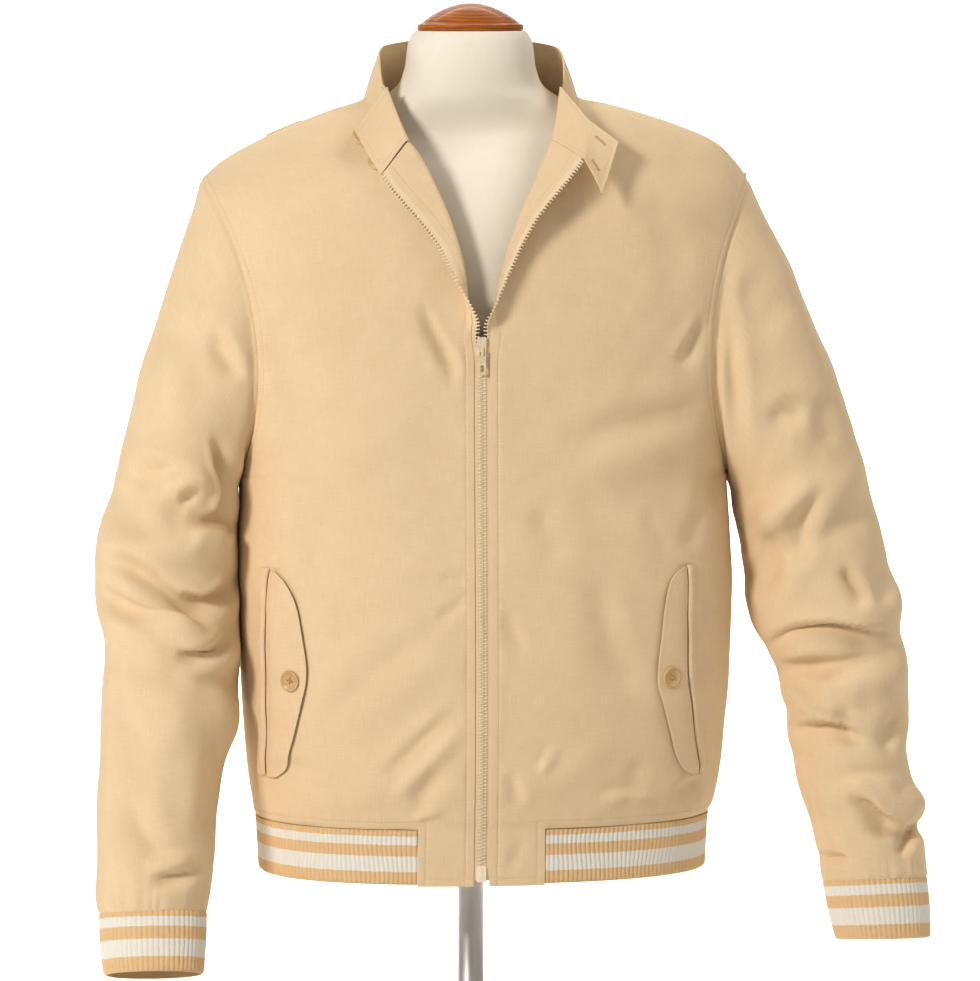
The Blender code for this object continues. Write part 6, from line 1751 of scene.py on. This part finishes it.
def sheen(look, weight, tint):
    look.shader.inputs["Sheen Weight"].default_value = weight
    look.shader.inputs["Sheen Roughness"].default_value = 0.5
    look.shader.inputs["Sheen Tint"].default_value = (*tint, 1.0)


def woven(name, light, dark, sheen_weight=0.12, weave=1.0, slub=1.0):
    """Cotton cloth: fine diagonal weave, slubs both ways and a faint uneven tone."""
    look = Look(name, 0.86, specular=0.22)
    flat = look.place()
    warp = look.noise(look.place((2600, 55, 1)), 1.0, 1.0)
    weft = look.noise(look.place((60, 2400, 1)), 1.0, 1.0)
    threads = look.math("ADD", warp, weft)
    tone = look.remap(threads, 0.7, 1.3, 0.0, 0.42 * slub)
    cloudy = look.remap(look.noise(flat, 34, 3.0), 0.3, 0.7, 0.0, 0.13)
    broad = look.remap(look.noise(flat, 7, 2.0), 0.3, 0.7, 0.0, 0.09)
    factor = look.math("ADD", look.math("ADD", tone, cloudy), broad)
    look.base_colour(factor, light, dark)
    twill = look.node("ShaderNodeTexWave", wave_type="BANDS", bands_direction="DIAGONAL", Scale=420.0,
                      Distortion=0.6)
    look.link(flat, twill.inputs["Vector"])
    height = look.math("ADD", look.math("MULTIPLY", twill.outputs["Fac"], 0.5 * weave), threads)
    look.bump(height, 0.28, 0.00035)
    sheen(look, sheen_weight, (1.0, 0.93, 0.8))
    return look.made


STRIPES = ((0.0, "tan"), (0.235, "white"), (0.52, "tan"), (0.73, "white"), (0.89, "tan"))


def knitted(name, tan, white):
    """Rib knit whose stripes go by the height across the band; rows of stitches show as bump."""
    look = Look(name, 0.9, specular=0.2)
    flat = look.place()
    split = look.node("ShaderNodeSeparateXYZ")
    look.link(flat, split.inputs[0])
    wobble = look.remap(look.noise(look.place((700, 6, 1)), 1.0, 1.0), 0.3, 0.7, -0.008, 0.008)
    height = look.math("ADD", split.outputs[1], wobble)
    ramp = look.node("ShaderNodeValToRGB")
    ramp.color_ramp.interpolation = "CONSTANT"
    colours = {"tan": (*tan, 1.0), "white": (*white, 1.0)}
    while len(ramp.color_ramp.elements) < len(STRIPES):
        ramp.color_ramp.elements.new(0.5)
    for element, (place, colour) in zip(ramp.color_ramp.elements, STRIPES):
        element.position = place
        element.color = colours[colour]
    look.link(height, ramp.inputs["Fac"])
    fuzz = look.remap(look.noise(look.place((1300, 60, 1)), 1.0, 2.0), 0.3, 0.7, 0.0, 0.2)
    darker = look.node("ShaderNodeMix", data_type="RGBA", blend_type="MULTIPLY")
    look.link(fuzz, darker.inputs[0])
    look.link(ramp.outputs["Color"], darker.inputs[6])
    darker.inputs[7].default_value = (0.62, 0.5, 0.38, 1.0)
    look.link(darker.outputs[2], look.shader.inputs["Base Color"])
    rows = look.node("ShaderNodeTexWave", wave_type="BANDS", bands_direction="Y", Scale=11.0, Distortion=1.2)
    look.link(flat, rows.inputs["Vector"])
    fibres = look.noise(look.place((1500, 90, 1)), 1.0, 2.0)
    look.bump(look.math("ADD", rows.outputs["Fac"], fibres), 0.4, 0.0004)
    sheen(look, 0.2, (1.0, 0.95, 0.88))
    return look.made


def polished_wood(name, light, dark):
    """Stained turned wood under a clear coat."""
    look = Look(name, 0.42, specular=0.25)
    where = look.place((9, 9, 46), uv=False)
    grain = look.noise(where, 3.2, 6.0, 0.62)
    rings = look.node("ShaderNodeTexWave", wave_type="RINGS", rings_direction="Y", Scale=2.3,
                      Distortion=5.5, Detail=3.0)
    look.link(where, rings.inputs["Vector"])
    figure = look.math("ADD", look.math("MULTIPLY", rings.outputs["Fac"], 0.45), grain)
    factor = look.remap(figure, 0.35, 1.0, 0, 1)
    look.base_colour(factor, light, dark)
    look.bump(grain, 0.08, 0.0004)
    look.shader.inputs["Coat Weight"].default_value = 0.12
    look.shader.inputs["Coat Roughness"].default_value = 0.12
    return look.made


def plain_hard(name, colour, dark, roughness, metallic, specular=0.5, scale=900):
    """Moulded or plated stuff: slight tone, uneven gloss and a faint skin."""
    look = Look(name, roughness, metallic, specular)
    where = look.place(uv=False)
    factor = look.remap(look.noise(where, scale * 0.2, 3.0), 0.35, 0.7, 0.0, 0.6)
    look.base_colour(factor, colour, dark)
    gloss = look.remap(look.noise(where, scale * 0.5, 2.0), 0.3, 0.7, roughness * 0.8, roughness * 1.25)
    look.link(gloss, look.shader.inputs["Roughness"])
    look.bump(look.noise(where, scale, 2.0), 0.1, 0.0002)
    return look.made


def studio_floor():
    look = Look("pale_floor", 0.9, specular=0.1)
    factor = look.remap(look.noise(look.place(uv=False), 3.0, 2.0), 0.3, 0.7, 0.0, 1.0)
    look.base_colour(factor, (0.92, 0.92, 0.915), (0.905, 0.905, 0.9))
    return look.made


# ---------------------------------------------------------------- camera, light and floor
def make_camera():
    target = Vector((0.0179, 0.0, 0.5277))
    turn, down, away = math.radians(4.5), math.radians(5.5), 5.0
    view = Vector((math.sin(turn) * math.cos(down), math.cos(turn) * math.cos(down), -math.sin(down)))
    data = bpy.data.cameras.new("camera")
    data.lens = 199.6
    data.sensor_width = 36
    data.clip_end = 60
    made = linked("camera", data)
    made.location = target - view * away
    made.rotation_euler = view.to_track_quat("-Z", "Y").to_euler()
    bpy.context.scene.camera = made


def area_light(name, at, target, size, power, colour):
    data = bpy.data.lights.new(name, "AREA")
    data.shape = "DISK"
    data.size = size
    data.energy = power
    data.color = colour
    made = linked(name, data)
    made.location = at
    made.rotation_euler = (Vector(target) - Vector(at)).to_track_quat("-Z", "Y").to_euler()


def make_studio():
    scene = bpy.context.scene
    scene.view_settings.view_transform = "Standard"
    scene.view_settings.look = "None"
    scene.view_settings.gamma = 0.8
    world = bpy.data.worlds.new("studio")
    scene.world = world
    world.use_nodes = True
    background = world.node_tree.nodes["Background"]
    background.inputs["Color"].default_value = (1.0, 0.95, 0.87, 1.0)
    background.inputs["Strength"].default_value = 0.31
    area_light("key", (-2.9, -2.9, 2.5), (0, 0, 0.55), 0.9, 128, (1.0, 0.985, 0.975))
    area_light("fill", (2.8, -3.6, 1.0), (0, 0, 0.5), 2.4, 3, (1.0, 0.97, 0.93))
    area_light("top", (1.7, -0.4, 3.0), (0, 0, 0.6), 1.4, 32, (1.0, 0.98, 0.95))
    area_light("floor_light", (0.0, 2.3, 3.0), (0, 4.1, 0.6), 2.6, 240, (1.0, 1.0, 1.0))
    area_light("backdrop_light", (0.0, 4.6, 2.8), (0, 6.6, 0.9), 2.6, 160, (1.0, 1.0, 1.0))
    make_floor()


def make_floor():
    """A pale floor that sweeps up into a plain backdrop."""
    half, wall_y, radius, high = 8.0, 6.8, 1.2, 6.0
    bend = [(wall_y - radius + radius * math.sin(a), radius - radius * math.cos(a))
            for a in np.linspace(0, math.pi / 2, 13)]
    profile = [(-9.0, 0.0), *bend, (wall_y, high)]
    points = [(x, y, z) for x in (-half, half) for y, z in profile]
    count = len(profile)
    faces = [(k, count + k, count + k + 1, k + 1) for k in range(count - 1)]
    mesh = bpy.data.meshes.new("floor")
    mesh.from_pydata(points, [], faces)
    mesh.shade_smooth()
    mesh.materials.append(studio_floor())
    linked("floor", mesh)


# ---------------------------------------------------------------- the whole model
def main():
    make_camera()
    make_studio()
    looks = {
        "twill": woven("cotton_twill", (0.82, 0.665, 0.465), (0.675, 0.50, 0.305)),
        "knit": knitted("striped_knit", (0.786, 0.574, 0.34), (0.837, 0.812, 0.751)),
        "form": woven("form_cover", (0.88, 0.83, 0.73), (0.78, 0.71, 0.595), 0.1, 0.4, 0.7),
        "wood": polished_wood("stained_wood", (0.53, 0.185, 0.024), (0.31, 0.09, 0.012)),
        "thread": woven("tan_thread", (0.70, 0.50, 0.28), (0.58, 0.39, 0.19), 0.1, 0.3, 1.0),
        # Near-black brown for the buttonholes' slots: painted shade, not a cloth colour.
        "shade": plain_hard("slot_shade", (0.10, 0.06, 0.03), (0.07, 0.04, 0.02), 0.9, 0.0, 0.1),
        "tape": woven("zip_tape_weave", (0.852, 0.697, 0.494), (0.73, 0.553, 0.361), 0.1, 0.6, 1.0),
        "tooth": plain_hard("moulded_teeth", (0.895, 0.803, 0.638), (0.82, 0.70, 0.519), 0.38, 0.0),
        "slider": plain_hard("painted_slider", (0.878, 0.768, 0.574), (0.786, 0.647, 0.451), 0.3, 0.25),
        "button": plain_hard("tan_button", (0.67, 0.475, 0.26), (0.53, 0.345, 0.17), 0.3, 0.0, scale=260),
        "steel": plain_hard("steel_pole", (0.68, 0.67, 0.655), (0.645, 0.635, 0.62), 0.34, 0.9, scale=60),
    }
    make_form(looks["form"])
    make_stand(looks["wood"], looks["steel"])
    for side in ("right", "left"):
        front, edge_rows = make_front(side, looks["twill"])
        make_zip(side, front, edge_rows, looks["tape"], looks["tooth"])
        make_sleeve(side, looks["twill"])
        make_cuff(side, looks["knit"])
        make_flap(side, looks["twill"])
        make_button(f"button_{side}", f"flap_button_{side}", looks["button"], looks["thread"])
    make_back(looks["twill"])
    collar, along = make_collar(looks["twill"])
    make_buttonholes(collar, along)
    for part in ("low", "high"):
        make_button(f"button_collar_{part}", f"collar_button_{part}", looks["button"], looks["thread"])
    make_hem(looks["knit"])
    plate = make_slider(looks["slider"])
    make_pull_tab(plate, looks["slider"])
    make_zip_box(looks["tooth"])
    sew_all(looks["thread"], looks["shade"])
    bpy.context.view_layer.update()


main()
